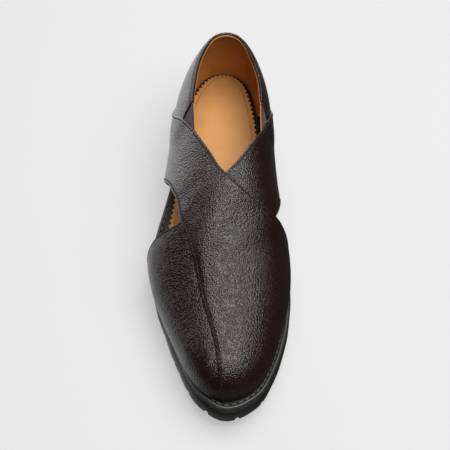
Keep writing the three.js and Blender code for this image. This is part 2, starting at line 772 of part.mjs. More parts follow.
// The exported frame has its origin at the middle of the footprint
const whole = new THREE.Box3();
pieces.forEach(([, solid]) => {
  const { min, max } = solid.boundingBox();
  whole.expandByPoint(new THREE.Vector3(...min));
  whole.expandByPoint(new THREE.Vector3(...max));
});
const middle = whole.getCenter(new THREE.Vector3());

const shoe = new THREE.Group();
shoe.name = "peshawari_chappal";
pieces.forEach(([name, solid, finish]) => {
  const data = solid.translate([-middle.x, -middle.y, -whole.min.z]).getMesh();
  const geometry = new THREE.BufferGeometry();
  geometry.setAttribute("position", new THREE.BufferAttribute(data.vertProperties, 3));
  geometry.setIndex(new THREE.BufferAttribute(data.triVerts, 1));
  const mesh = new THREE.Mesh(toCreasedNormals(geometry, CREASE),
    new THREE.MeshStandardMaterial({ ...finish, metalness: 0 }));
  mesh.name = name;
  shoe.add(mesh);
});

export default shoe;
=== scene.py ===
import bpy
import numpy as np
from mathutils import Matrix, Vector


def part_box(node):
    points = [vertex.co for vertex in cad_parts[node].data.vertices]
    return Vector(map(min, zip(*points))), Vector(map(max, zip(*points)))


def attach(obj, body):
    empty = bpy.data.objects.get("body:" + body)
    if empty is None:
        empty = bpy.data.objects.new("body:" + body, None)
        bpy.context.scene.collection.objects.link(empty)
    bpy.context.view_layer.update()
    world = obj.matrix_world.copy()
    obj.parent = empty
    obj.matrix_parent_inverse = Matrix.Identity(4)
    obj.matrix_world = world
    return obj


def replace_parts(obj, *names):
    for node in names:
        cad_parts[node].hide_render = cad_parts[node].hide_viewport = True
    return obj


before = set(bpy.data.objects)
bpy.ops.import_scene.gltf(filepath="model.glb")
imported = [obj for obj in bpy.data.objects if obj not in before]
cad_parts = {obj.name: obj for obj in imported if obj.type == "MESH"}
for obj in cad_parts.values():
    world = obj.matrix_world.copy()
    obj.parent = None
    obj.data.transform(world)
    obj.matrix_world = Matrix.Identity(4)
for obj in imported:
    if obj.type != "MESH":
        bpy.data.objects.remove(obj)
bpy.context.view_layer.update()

bl_info = {
    "name": "Peshawari chappal",
    "version": (1, 0, 0),
    "blender": (4, 5, 0),
    "location": "3D View > Sidebar > Chappal",
    "description": "Leather, linings, stitches and sole of a shoe with crossing vamp panels",
    "category": "Add Mesh",
}

MM = 0.001

# Main sizes of the shoe in millimetres, the same as the solids have.
SOLE_LENGTH = 294.0
HEEL_MARGIN = 2.5
TOE_MARGIN = 8.5
UPPER_LENGTH = SOLE_LENGTH - HEEL_MARGIN - TOE_MARGIN
HEEL_Y = SOLE_LENGTH / 2 - HEEL_MARGIN
BALL_WIDTH = 106.5
INSTEP_HEIGHT = 71.5
HEEL_LENGTH = 77.0
HEEL_HEIGHT = 22.0
TOE_SPRING = 8.5
HEEL_CURVE = 4.5
HEEL_CURVE_HEIGHT = 56.0
COLLAR_HEIGHT = 56.0
MEDIAL_RISE = 3.0
MEDIAL_LEAN = 0.08
TUCK_HEIGHT = 24.0
SQUARENESS = 2.3
WALL = 1.6
OVERLAP_RISE = 1.1
OVERLAP_RAMP = 14.0
FIT = 0.3
WELT_THICKNESS = 2.5
MIDSOLE_THICKNESS = 3.0
OUTSOLE_THICKNESS = 7.5
LUG_HEIGHT = 4.1
FOOTBED_RISE = 1.0
INSOLE_THICKNESS = 1.5
INSOLE_MARGIN = 4.0
INSOLE_SHIFT = 1.5
WELT_INSET = 1.0
MIDSOLE_INSET = 0.8
OUTSOLE_STEP = 1.1
LUG_DEPTH = 14.0
LUG_PITCH = 11.6
LUG_GAP = 3.6
LUG_FLARE = 1.1
LUG_SIDE_STEP = 0.35
LUG_ROOT = 0.8
LUGS_FROM = 0.565
BARS = 5
BARS_FROM = 0.635
BAR_PITCH = 17.5
BAR_HALF_LENGTH = 15.0
BAR_HALF_WIDTH = 6.0
HEEL_INSET = 0.6
HEEL_FOOT = 4.5
HEEL_LUG_DEPTH = 9.5
HEEL_LUG_FLARE = 0.9
BREAST_REACH = 22.0
BREAST_HOLLOW = 2.6
RUBBER_BEVEL = 0.35
INSOLE_TEETH = 74
SEAM_INSET = 1.9
ROLL_RADIUS = 1.25
ROLL_CENTRE = 0.85
ROLL_DIP = 1.2
WHEEL_PITCH = 2.2
WELT_SEAM_INSET = 2.9
WELT_STITCH = (5.4, 4.3, 1.3, -0.15)  # pitch, length, width, lift
WELT_TOP = FIT
WELT_FOOT = WELT_TOP + WELT_THICKNESS
MIDSOLE_TOP = WELT_FOOT + FIT
MIDSOLE_FOOT = MIDSOLE_TOP + MIDSOLE_THICKNESS
OUTSOLE_TOP = MIDSOLE_FOOT + FIT
OUTSOLE_FOOT = OUTSOLE_TOP + OUTSOLE_THICKNESS
FOREFOOT_STACK = OUTSOLE_FOOT - FIT + LUG_HEIGHT + FIT
HEEL_STACK = OUTSOLE_FOOT + FIT + HEEL_HEIGHT

# Sections of the shoe's inside: share of length, lateral, medial, ridge, height, square, tuck.
LAST = np.array([
    (0.000, 0.000, 0.000, 0.000, 0.923, 1.00, 0.12),
    (0.012, 0.130, 0.122, -0.004, 0.923, 1.00, 0.12),
    (0.035, 0.200, 0.190, -0.007, 0.923, 1.00, 0.12),
    (0.100, 0.302, 0.259, -0.009, 0.930, 1.00, 0.12),
    (0.200, 0.367, 0.306, 0.005, 0.923, 1.00, 0.12),
    (0.300, 0.396, 0.330, 0.014, 0.916, 0.96, 0.12),
    (0.400, 0.434, 0.358, 0.019, 0.944, 0.91, 0.12),
    (0.500, 0.480, 0.403, 0.009, 0.930, 0.89, 0.10),
    (0.600, 0.531, 0.449, 0.000, 0.811, 0.89, 0.07),
    (0.680, 0.500, 0.449, 0.000, 0.699, 0.93, 0.07),
    (0.760, 0.432, 0.416, 0.000, 0.594, 0.96, 0.07),
    (0.840, 0.349, 0.360, 0.000, 0.496, 1.00, 0.07),
    (0.910, 0.275, 0.302, 0.000, 0.406, 1.02, 0.09),
    (0.960, 0.195, 0.215, -0.009, 0.308, 1.02, 0.08),
    (0.988, 0.123, 0.126, -0.019, 0.182, 1.02, 0.07),
    (1.000, 0.028, -0.028, -0.028, 0.000, 1.02, 0.07),
])

# Height of the feather line: share of length, share of the heel rise, share of the toe spring.
FEATHER = np.array([
    (0.00, 1.000, 0.00), (0.12, 0.980, 0.00), (0.26, 0.850, 0.00), (0.45, 0.380, 0.00),
    (0.58, 0.055, 0.00), (0.63, 0.000, 0.00), (0.76, 0.000, 0.00), (0.85, 0.000, 0.26),
    (1.00, 0.000, 1.00),
])

# Outline of the sole: share of length, lateral and medial half widths.
SOLE = np.array([
    (0.00, 0.000, 0.000), (0.01, 0.124, 0.120), (0.03, 0.204, 0.196), (0.08, 0.292, 0.270),
    (0.15, 0.342, 0.304), (0.25, 0.362, 0.322), (0.35, 0.382, 0.338), (0.42, 0.428, 0.370),
    (0.50, 0.484, 0.422), (0.56, 0.512, 0.443), (0.60, 0.502, 0.458), (0.65, 0.472, 0.463),
    (0.70, 0.443, 0.452), (0.75, 0.399, 0.436), (0.80, 0.360, 0.406), (0.85, 0.312, 0.369),
    (0.90, 0.262, 0.318), (0.95, 0.193, 0.248), (0.98, 0.114, 0.159), (1.00, -0.009, 0.009),
])

# Ribs of the two vamp panels: front edge and rear edge as share of length and of girth.
OVER = np.array([
    (1.000, 0.430, 1.000, 1.000), (0.968, 0.439, 0.965, 1.000), (0.912, 0.432, 0.905, 1.000),
    (0.860, 0.417, 0.850, 1.000), (0.800, 0.394, 0.780, 1.000), (0.745, 0.379, 0.705, 1.000),
    (0.691, 0.372, 0.640, 1.000), (0.650, 0.357, 0.592, 1.000), (0.610, 0.338, 0.550, 0.888),
    (0.573, 0.307, 0.546, 0.752), (0.540, 0.278, 0.530, 0.620), (0.510, 0.254, 0.476, 0.475),
    (0.475, 0.212, 0.409, 0.395), (0.445, 0.176, 0.328, 0.301), (0.415, 0.125, 0.268, 0.216),
    (0.388, 0.070, 0.196, 0.085), (0.365, 0.000, 0.100, 0.000),
])
# Ribs at which the front rail and the rear rail turn sharply.
OVER_CORNERS = ((), (7, 9, 13, 14))
UNDER = np.array([
    (1.000, 0.500, 1.000, 0.000), (0.968, 0.500, 0.965, 0.000), (0.912, 0.500, 0.905, 0.000),
    (0.860, 0.490, 0.850, 0.000), (0.800, 0.470, 0.780, 0.000), (0.745, 0.455, 0.710, 0.000),
    (0.690, 0.460, 0.650, 0.000), (0.645, 0.500, 0.606, 0.000), (0.605, 0.590, 0.582, 0.140),
    (0.578, 0.670, 0.583, 0.236), (0.558, 0.725, 0.576, 0.301), (0.536, 0.775, 0.535, 0.385),
    (0.505, 0.822, 0.476, 0.475), (0.475, 0.865, 0.397, 0.590), (0.450, 0.905, 0.311, 0.720),
    (0.432, 0.940, 0.256, 0.790), (0.418, 0.970, 0.180, 0.910), (0.405, 1.000, 0.100, 1.000),
])
UNDER_CORNERS = ((), (7, 14, 15))

# Front edge of the counter: share of its height, share of length. Collar: share, height.
COUNTER_EDGE = np.array([
    (0.00, 0.140), (0.25, 0.200), (0.45, 0.250), (0.65, 0.285), (0.81, 0.270), (1.00, 0.235)])
COLLAR = np.array([(0.00, 1.000), (0.05, 0.990), (0.12, 0.945), (0.20, 0.925), (0.30, 0.930)])

# Where one leather lies on another, as closed patches of share and girth: the crossing of the
# panels, and the end of each strap on the counter.
CROSSING = np.array([
    (0.576, 0.303), (0.476, 0.475), (0.530, 0.620), (0.546, 0.752), (0.558, 0.725),
    (0.578, 0.670), (0.605, 0.590), (0.645, 0.500), (0.690, 0.460), (0.745, 0.455),
    (0.800, 0.470), (0.860, 0.490), (0.912, 0.500), (0.968, 0.500), (1.000, 0.500),
    (1.000, 0.430), (0.968, 0.439), (0.912, 0.432), (0.860, 0.417), (0.800, 0.394),
    (0.745, 0.379), (0.691, 0.372), (0.650, 0.357), (0.610, 0.338),
])
STRAP_SEAT = np.array([
    (0.100, 0.000), (0.196, 0.085), (0.268, 0.216), (0.285, 0.180),
    (0.255, 0.100), (0.205, 0.050), (0.150, 0.000),
])
STRAP_SEAT_MEDIAL = STRAP_SEAT * (1, -1) + (0, 1)

# Corners of each gore, as share and girth: at the collar, at the strap and at its foot.
GORE_LATERAL = (0.224, 0.266), (0.340, 0.300), (0.270, 0.195)
GORE_MEDIAL = (0.224, 0.722), (0.322, 0.714), (0.256, 0.805)

# Notches between the lugs round the toe: runs from the tip, as shares of the ball width.
TOE_NOTCHES = np.array([-0.526, -0.357, -0.150, 0.080, 0.300, 0.526])

# The over panel stands up behind its stitched front edge: rib, width of the slope, its rise.
PUFF = np.array([
    (0, 2.5, 0.0), (1, 2.6, 0.7), (2, 3.0, 0.9), (3, 3.4, 1.0), (4, 4.2, 1.2), (5, 5.2, 1.4),
    (6, 6.2, 1.5), (7, 7.2, 1.5), (8, 8.0, 1.35), (9, 7.0, 0.9), (10, 6.0, 0.4), (11, 5.0, 0.0),
    (16, 5.0, 0.0),
])
PUFF_REACH = 45.0

# A soft ridge where the over panel turns onto the outer strap: share, girth, height, width.
STRAP_FOLD = np.array([
    (0.480, 0.494, 0.2, 10.0), (0.520, 0.476, 1.5, 11.0), (0.553, 0.464, 2.5, 11.5),
    (0.578, 0.453, 2.8, 11.5), (0.600, 0.440, 2.8, 11.5), (0.635, 0.419, 2.5, 11.5),
    (0.663, 0.396, 1.9, 11.0), (0.690, 0.372, 1.0, 10.0), (0.720, 0.364, 0.0, 10.0),
])

# The camera: azimuth, elevation and roll in degrees, metres away, millimetres aimed at and lens.
CAMERA_TURN = (-4.0, 55.0, 4.5)
CAMERA_DISTANCE = 1.5
CAMERA_AIM = (0.0, 0.0, 40.0)
CAMERA_SENSOR = 36.0
CAMERA_LENS = 164.4
FLOOR_REACH = 6.0

# Softboxes: name, place, aim, size (metres), power (watts) and turn about the aim (degrees).
LIGHTS = [
    ("overhead", (0.32, 0.08, 1.60), (0.32, 0.08, 0.0), (1.26, 1.90), 46.0, 14.0),
    ("right_edge", (1.35, 0.30, 1.59), (1.35, 0.30, 0.0), (0.75, 1.3), 6.0, 12.0),
]

# The room: a white table and a wall to the left and behind, the floor in front, dark elsewhere.
# Each has an axis, a range of the direction's share of that axis, a strength, and a band of
# heights.
ROOM = {
    "table": ((-0.6, 0.8, 0.0), (0.25, 0.72), 1.2, [(0.20, 1.0), (0.25, 0.0)]),
    "wall": ((-0.4, 0.9, 0.0), (0.72, 0.92), 3.2,
             [(0.20, 0.0), (0.25, 1.0), (0.66, 1.0), (0.74, 0.0)]),
    "near_floor": ((-0.3, -0.95, 0.0), (-0.2, 0.4), 0.4, [(0.16, 1.0), (0.22, 0.0)]),
}
ROOM_DARK = 0.05


def smooth(x):
    """0 below 0, 1 above 1, and 3t^2 - 2t^3 between."""
    t = np.clip(x, 0, 1)
    return t * t * (3 - 2 * t)


def mix(a, b, t):
    """a at t = 0, b at t = 1."""
    return a + (b - a) * t


def run_along(path):
    """Distance from the start of a path to each of its points."""
    return np.concatenate([[0], np.cumsum(np.linalg.norm(np.diff(path, axis=0), axis=1))])


def raised(plan, z):
    """A plan's points with their heights."""
    return np.concatenate([plan, z[..., None]], -1)


def around_plan(plan):
    """Both sides of a plan as one closed loop: down the lateral side, back up the medial."""
    return np.concatenate([plan[:, 0], plan[-2:0:-1, 1]])


def hermite(keys, values):
    """Smooth curve through the rows of a table: cubic pieces that share their slopes."""
    keys, values = np.asarray(keys, float), np.asarray(values, float)
    slope = np.gradient(values, keys)

    def at(x):
        x = np.clip(x, keys[0], keys[-1])
        i = np.clip(np.searchsorted(keys, x, side="right") - 1, 0, len(keys) - 2)
        step = keys[i + 1] - keys[i]
        t = (x - keys[i]) / step
        r = 1 - t
        return ((1 + 2 * t) * r * r * values[i] + t * r * r * step * slope[i]
                + t * t * (3 - 2 * t) * values[i + 1] - t * t * r * step * slope[i + 1])
    return at


def station_of(share):
    """Rows of a grid run by station, which crowds them at heel and toe, where the plan turns."""
    return np.arccos(1 - 2 * np.clip(share, 0, 1)) / np.pi


def share_of(station):
    """Share of the length at a station: (1 - cos(pi station)) / 2."""
    return (1 - np.cos(np.pi * station)) / 2


LAST_AT = station_of(LAST[:, 0])
lateral = hermite(LAST_AT, LAST[:, 1] * BALL_WIDTH)
medial = hermite(LAST_AT, LAST[:, 2] * BALL_WIDTH)
ridge = hermite(LAST_AT, LAST[:, 3] * BALL_WIDTH)
height = hermite(LAST_AT, LAST[:, 4] * INSTEP_HEIGHT)
square = hermite(LAST_AT, LAST[:, 5] * SQUARENESS)
tuck = hermite(LAST_AT, LAST[:, 6])
feather = hermite(FEATHER[:, 0], FOREFOOT_STACK + (HEEL_STACK - FOREFOOT_STACK) * FEATHER[:, 1]
                  + TOE_SPRING * FEATHER[:, 2])
SOLE_AT = station_of(SOLE[:, 0])
sole_lateral = hermite(SOLE_AT, SOLE[:, 1] * BALL_WIDTH)
sole_medial = hermite(SOLE_AT, SOLE[:, 2] * BALL_WIDTH)
counter_edge = hermite(COUNTER_EDGE[:, 0], COUNTER_EDGE[:, 1])
collar = hermite(COLLAR[:, 0], COLLAR[:, 1])


def feather_at(y):
    """Height of the feather line, where the upper meets the sole, at a place along the shoe."""
    return feather(np.clip((HEEL_Y - y) / UPPER_LENGTH, 0, 1))


def fullness(station, above):
    """Share of the half width: the last tucks in towards the feather line, by a square law."""
    return 1 - tuck(station) * np.clip(1 - above / TUCK_HEIGHT, 0, 1) ** 2


def place(share, x, above):
    """Section point to the shoe's frame: the back curves in with height, the cone leans inward."""
    t = np.clip(above / HEEL_CURVE_HEIGHT, 0, 1.3)
    back = 4 * HEEL_CURVE * t * (0.6 - t) * np.clip(1 - share / 0.3, 0, 1) ** 1.5
    lean = MEDIAL_LEAN * above * smooth(share / 0.2) * np.clip(1 - share / 0.6, 0, 1)
    return np.stack([x + lean, HEEL_Y - UPPER_LENGTH * share + back, feather(share) + above], -1)


def on_last(station, girth):
    """Superellipse sections along the length: the power of cosine gives the half width and
    the power of sine the height, over the girth angle from the lateral to the medial edge."""
    station, girth = np.broadcast_arrays(np.asarray(station, float), np.asarray(girth, float))
    power = 2 / square(station)
    cos = np.abs(np.cos(np.pi * girth)) ** power
    above = np.maximum(0, height(station)) * np.maximum(0, np.sin(np.pi * girth)) ** power
    edge = np.where(girth < 0.5, -lateral(station), medial(station))
    r = ridge(station)
    return place(share_of(station), r + (edge * fullness(station, above) - r) * cos, above)


def on_wall(side, station, above):
    """The same section solved for a height over the feather line."""
    n = square(station)
    level = np.clip(above / height(station), 0, 1)
    cos = np.clip(1 - level ** n, 0, 1) ** (1 / n)
    edge = np.where(side < 0, -lateral(station), medial(station))
    r = ridge(station)
    return place(share_of(station), r + (edge * fullness(station, above) - r) * cos, above)


def unit(v):
    """Vectors of length one."""
    return v / np.maximum(np.linalg.norm(v, axis=-1, keepdims=True), 1e-12)


def last_normal(station, girth):
    """Outward normal of the last: cross product of its slopes, turned forward at the toe's tip."""
    d = 0.001
    u, v = np.clip(station, d, 1 - d), np.clip(girth, d, 1 - d)
    n = unit(np.cross(on_last(u + d, v) - on_last(u - d, v), on_last(u, v + d) - on_last(u, v - d)))
    tip = smooth((np.asarray(station) - 0.985) / 0.015)[..., None]
    return unit(n * (1 - tip) + np.array([0, -1.0, 0]) * tip)


def distance_to(patch, share, girth):
    """Distance in millimetres, unrolled on the last, from points to a closed patch."""
    around = 2.4 * np.maximum(1, height(station_of(share)))
    best = np.full(np.shape(share), 1e9)
    inside = np.zeros(np.shape(share), bool)
    for a, b in zip(patch, np.roll(patch, -1, axis=0)):
        ax, ay = (a[0] - share) * UPPER_LENGTH, (a[1] - girth) * around
        bx, by = (b[0] - share) * UPPER_LENGTH, (b[1] - girth) * around
        ex, ey = bx - ax, by - ay
        t = np.clip(-(ax * ex + ay * ey) / np.maximum(ex * ex + ey * ey, 1e-3), 0, 1)
        best = np.minimum(best, np.hypot(ax + t * ex, ay + t * ey))
        ey_safe = np.where(np.abs(ey) < 1e-9, 1e-9, ey)
        inside ^= ((ay > 0) != (by > 0)) & (ax - ay * ex / ey_safe > 0)
    return np.where(inside, 0, best)


def rise_near(patches, share, girth):
    """Rise of a leather over the ones it lies on: full on the patches, none a ramp away."""
    return OVERLAP_RISE * np.max([1 - smooth(distance_to(p, share, girth) / OVERLAP_RAMP)
                                  for p in patches], axis=0)


class Fold:
    """A ridge drawn as points on the last: a bell across it, its height read along it."""

    def __init__(self, table):
        keys, along = np.linspace(0, 1, len(table)), np.linspace(0, 1, 160)
        share, girth, self.height, self.width = (hermite(keys, c)(along) for c in table.T)
        self.crest = on_last(station_of(share), girth)

    def rise(self, points):
        """Highest height * exp(-(d / width)^2) over the crest, d being the distance to it."""
        square = ((points ** 2).sum(-1)[..., None] + (self.crest ** 2).sum(-1)
                  - 2 * points @ self.crest.T)
        return (self.height * np.exp(-square / self.width ** 2)).max(-1)


def rail(points, corners):
    """Curve through rib ends with one unit of t per rib: smooth but for the named corners."""
    n = len(points)
    step = np.diff(points, axis=0)
    into = np.vstack([step[:1], step])
    out = np.vstack([step, step[-1:]])
    middle = (into + out) / 2
    sharp = np.zeros(n, bool)
    sharp[[0, n - 1, *corners]] = True
    into = np.where(sharp[:, None], into, middle)
    out = np.where(sharp[:, None], out, middle)

    def at(t):
        i = np.clip(np.floor(t).astype(int), 0, n - 2)
        f = (t - i)[..., None]
        r = 1 - f
        return ((1 + 2 * f) * r * r * points[i] + f * r * r * out[i]
                + f * f * (3 - 2 * f) * points[i + 1] - f * f * r * into[i + 1])
    return at


class Panel:
    """A vamp panel: ribs from a front rail to a rear rail, straight over station and girth."""

    def __init__(self, ribs, corners, seats, fold=None):
        front = np.stack([station_of(ribs[:, 0]), ribs[:, 1]], -1)
        rear = np.stack([station_of(ribs[:, 2]), ribs[:, 3]], -1)
        self.front, self.rear = rail(front, corners[0]), rail(rear, corners[1])
        self.ribs, self.seats, self.fold = len(ribs), seats, fold
        self.steps = np.linspace(0, self.ribs - 1, 400)
        self.pace = self.speed(self.steps, 0)

    def puff(self, t, w):
        """Rise behind the front edge: smooth over the slope's width, then slowly back to none."""
        away = w * np.interp(t, self.steps, self.pace)
        width, rise = (np.interp(t, PUFF[:, 0], PUFF[:, k]) for k in (1, 2))
        return rise * smooth(away / width) * (1 - smooth((away - width) / PUFF_REACH))

    def at(self, t, w):
        """Station and girth at rib position t and share w of the way across."""
        p = mix(self.front(t), self.rear(t), w[..., None])
        return p[..., 0], np.clip(p[..., 1], 0, 1)

    def point(self, t, w, lift):
        """Point on the panel at a lift over its own inner face, in the last's normal."""
        u, v = self.at(t, w)
        rise = rise_near(self.seats, share_of(u), v) + lift
        if self.fold:
            rise = rise + self.puff(t, w) + self.fold.rise(on_last(u, v))
        return on_last(u, v) + last_normal(u, v) * np.asarray(rise)[..., None]

    def speed(self, t, end):
        """Millimetres along a rib per unit of w, at its front (0) or rear (1) end."""
        d = 0.02
        w = np.full(np.shape(t), float(end))
        u0, v0 = self.at(t, w)
        u1, v1 = self.at(t, np.abs(w - d))
        return np.linalg.norm(on_last(u0, v0) - on_last(u1, v1), axis=-1) / d


# ---- meshes

OWN_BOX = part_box("outsole")
ALL_STATIONS = np.linspace(0, 1, 2001)
SOLE_MIDDLE = (sole_medial(ALL_STATIONS).max() - sole_lateral(ALL_STATIONS).max()) / 2
SHIFT = np.array([(OWN_BOX[0][0] + OWN_BOX[1][0]) / 2 / MM - SOLE_MIDDLE,
                  (OWN_BOX[0][1] + OWN_BOX[1][1]) / 2 / MM, 0.0])


def make_object(name, points, faces, material, uv=None, shade=True):
    """A closed mesh from points in millimetres and rows of four indices: equal points are
    merged, faces that shrink to a triangle or a line are cleaned, and all face outwards."""
    points = np.asarray(points, float).reshape(-1, 3)
    faces = np.asarray(faces, int)
    keys = np.round(points / 2e-4).astype(np.int64)
    _, first, same = np.unique(keys, axis=0, return_index=True, return_inverse=True)
    same = same.reshape(-1)
    verts = points[first]
    f = same[faces]
    keep = f != np.roll(f, -1, axis=1)
    total = keep.sum(1)
    good = total >= 3
    f, keep, total, source = f[good], keep[good], total[good], faces[good]
    loops = f[keep]
    origin = source[keep]
    a, b, c, d = (verts[f[:, k]] for k in range(4))
    volume = (a * (np.cross(b, c) + np.cross(c, d))).sum()
    start = np.concatenate([[0], np.cumsum(total)[:-1]])
    if volume < 0:
        order = np.concatenate([np.arange(s + n - 1, s - 1, -1) for s, n in zip(start, total)])
        loops, origin = loops[order], origin[order]
    mesh = bpy.data.meshes.new(name)
    mesh.vertices.add(len(verts))
    mesh.vertices.foreach_set("co", ((verts + SHIFT) * MM).ravel())
    mesh.loops.add(len(loops))
    mesh.loops.foreach_set("vertex_index", loops)
    mesh.polygons.add(len(total))
    mesh.polygons.foreach_set("loop_start", start)
    mesh.update(calc_edges=True)
    if uv is not None:
        layer = mesh.uv_layers.new(name="pattern")
        layer.data.foreach_set("uv", (np.asarray(uv, float).reshape(-1, 2)[origin]).ravel())
    mesh.polygons.foreach_set("use_smooth", np.full(len(total), bool(shade)))
    mesh.validate()
    mesh.update()
    mesh.materials.append(material)
    obj = bpy.data.objects.new(name, mesh)
    bpy.context.scene.collection.objects.link(obj)
    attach(obj, "root")
    return obj


def grid_faces(rows, columns, base=0, wrap=False):
    """Index quads of a grid of points stored row by row."""
    i, j = np.meshgrid(np.arange(rows - 1), np.arange(columns - (0 if wrap else 1)), indexing="ij")
    k = (j + 1) % columns
    quad = np.stack([i * columns + j, i * columns + k, (i + 1) * columns + k,
                     (i + 1) * columns + j], -1)
    return quad.reshape(-1, 4) + base


def shell(inner, outer):
    """A closed shell between two grids of the same size: both skins and the rim."""
    rows, columns = inner.shape[:2]
    n = rows * columns
    rim = np.concatenate([
        np.arange(columns), np.arange(1, rows) * columns + columns - 1,
        (rows - 1) * columns + np.arange(columns - 2, -1, -1),
        np.arange(rows - 2, 0, -1) * columns])
    after = np.roll(rim, -1)
    faces = np.vstack([grid_faces(rows, columns)[:, ::-1], grid_faces(rows, columns, n),
                       np.stack([rim, after, after + n, rim + n], -1)])
    return np.concatenate([inner.reshape(-1, 3), outer.reshape(-1, 3)]), faces


# Columns close to a cut edge, in millimetres from it, where the edge rounds over, and the
# distance that stands for the middle of a panel.
EDGE = np.array([0, 0.06, 0.18, 0.36, 0.6, 0.9, 1.25, 1.6, 1.9, 2.2, 2.6, 3.3, 4.4])
FAR_FROM_EDGE = 99.0


def edge_height(distance, groove=0.2):
    """Thickness of the leather near a cut edge: a quarter round, then a stitched groove."""
    turn = np.sqrt(np.clip(1 - (1 - np.clip(distance, 0, 1)) ** 2, 0, 1))
    return WALL * mix(0.42, 1.0, turn) - groove * np.exp(-((distance - SEAM_INSET) / 0.45) ** 2)


def panel_grid(panel, per_rib, across):
    """Rib positions and shares across, close together at both edges."""
    t = np.unique(np.concatenate([
        np.linspace(0, panel.ribs - 1, (panel.ribs - 1) * per_rib + 1),
        panel.ribs - 1 - np.array([0.01, 0.03, 0.08])]))
    speed = [panel.speed(t, end) for end in (0, 1)]
    reach = [np.minimum(EDGE[-1] / np.maximum(s, 1e-3), 0.3) / EDGE[-1] for s in speed]
    near, far = reach[0][:, None] * EDGE, 1 - reach[1][:, None] * EDGE[::-1]
    inner = near[:, -1:] + (far[:, :1] - near[:, -1:]) * np.linspace(0, 1, across)[1:-1]
    w = np.hstack([near, inner, far])
    distance = np.concatenate([EDGE, np.full(across - 2, FAR_FROM_EDGE), EDGE[::-1]])
    return np.broadcast_to(t[:, None], w.shape), w, np.broadcast_to(distance, w.shape)


def panel_skin(panel, name, material):
    """Outer leather of a vamp panel, over its lift where it lies on another leather."""
    t, w, distance = panel_grid(panel, 14, 70)
    outer = panel.point(t, w, edge_height(distance))
    inner = panel.point(t, w, 0.12)
    points, faces = shell(inner, outer)
    return make_object(name, points, faces, material)


def panel_lining(panel, name, material):
    """Lining glued inside a panel: its edge stops short of the leather's edge."""
    t, w, _ = panel_grid(panel, 8, 40)
    w = mix(0.5, w, 0.985)
    points, faces = shell(panel.point(t, w, -0.55), panel.point(t, w, 0.04))
    return make_object(name, points, faces, material)


def counter_point(around, up, drop=0.0):
    """The heel wall: around runs from one front edge to the other, up from feather to collar;
    drop is a distance down from the collar in millimetres."""
    side = np.where(around < 0, -1, 1)
    share = share_of(np.abs(around) * station_of(counter_edge(np.clip(up, 0, 1))))
    rise = np.where(side > 0, MEDIAL_RISE * smooth(share / 0.1), 0)
    top = COLLAR_HEIGHT * collar(share) + rise
    return on_wall(side, station_of(share), np.maximum(0, up * top - drop))


def counter_normal(around, up):
    """Outward normal of the heel wall, from its slopes."""
    d = 0.002
    up, around = np.clip(up, d, 1 - d), np.clip(around, d - 1, 1 - d)
    along = counter_point(around + d, up) - counter_point(around - d, up)
    rising = counter_point(around, up + d) - counter_point(around, up - d)
    n = unit(np.cross(along, rising))
    facing = n[..., 1] * (1 - np.abs(around)) + n[..., 0] * around
    return np.where(facing[..., None] < 0, -n, n)


def counter_skin(material):
    """Leather of the counter, rolled over its collar: the wall, a round over the top that is
    a little fuller than the wall, and a short turn-in on the inside."""
    around = np.sin(np.linspace(-1, 1, 181) * np.pi / 2 * 0.92) / np.sin(np.pi / 2 * 0.92)
    wall_up = np.concatenate([np.linspace(0, 0.93, 40), [0.945, 0.955, 0.965]])
    A, U = np.meshgrid(around, wall_up, indexing="ij")
    base, n = counter_point(A, U), counter_normal(A, U)
    d_end = (1 - np.abs(A)) * 70.0
    groove = 0.14 * np.exp(-((U - 0.95) / 0.006) ** 2)
    out = base + n * (edge_height(d_end, 0.1) - groove)[..., None]
    top = counter_point(around, np.ones_like(around))
    top_n = counter_normal(around, np.full_like(around, 0.985))
    a = np.linspace(-0.15, 1.0, 15) * np.pi
    upright = np.array([0, 0, 1.0])
    roll = (top[:, None] + top_n[:, None] * (ROLL_CENTRE + ROLL_RADIUS * np.cos(a))[:, None]
            + upright * (ROLL_RADIUS * np.sin(a) - ROLL_DIP)[:, None])
    turn_in = np.array([0.8, 2.4]) + ROLL_DIP
    low_in = (top[:, None] + top_n[:, None] * (ROLL_CENTRE - ROLL_RADIUS + 0.1)
              - upright * turn_in[:, None])
    A2, U2 = np.meshgrid(around, wall_up[::-1], indexing="ij")
    inside = counter_point(A2, U2) + counter_normal(A2, U2) * 0.12
    section = np.concatenate([out, roll, low_in, inside], axis=1)
    rows, columns = section.shape[:2]
    faces = grid_faces(rows, columns, wrap=True)
    half = columns // 2
    caps = []
    for row, flip in ((0, False), (rows - 1, True)):
        k = np.arange(half)
        cap = np.stack([row * columns + k, row * columns + k + 1,
                        row * columns + columns - 2 - k, row * columns + columns - 1 - k], -1)
        caps.append(cap[:-1][:, ::-1] if flip else cap[:-1])
    return make_object("counter_leather", section, np.vstack([faces, *caps]), material)


def counter_lining(material):
    """Lining of the heel: a sheet inside the counter whose top edge shows under the roll."""
    around = np.linspace(-1, 1, 141) * 0.998
    up = np.concatenate([np.linspace(0, 0.95, 30), [0.975, 0.99, 1.0]])
    A, U = np.meshgrid(around, up, indexing="ij")
    n = counter_normal(A, U)
    base = counter_point(A, U, 0.5 * smooth((U - 0.8) / 0.2))
    lip = 0.9 * smooth((U - 0.9) / 0.06) * (1 - 0.5 * smooth((U - 0.97) / 0.03))
    pad = 1.1 * (1 - U)
    points, faces = shell(base - n * (0.75 + lip + pad)[..., None], base - n * 0.02)
    return make_object("counter_lining", points, faces, material)


def gore_patch(corners, i, j):
    """Points and normals of a gore's patch of the last: i from collar to strap, j up its foot."""
    collar_at, strap_at, foot_at = corners
    share, girth = (foot_at[k] + (mix(collar_at[k], strap_at[k], i) - foot_at[k]) * j
                    for k in (0, 1))
    return on_last(station_of(share), girth), last_normal(station_of(share), girth)


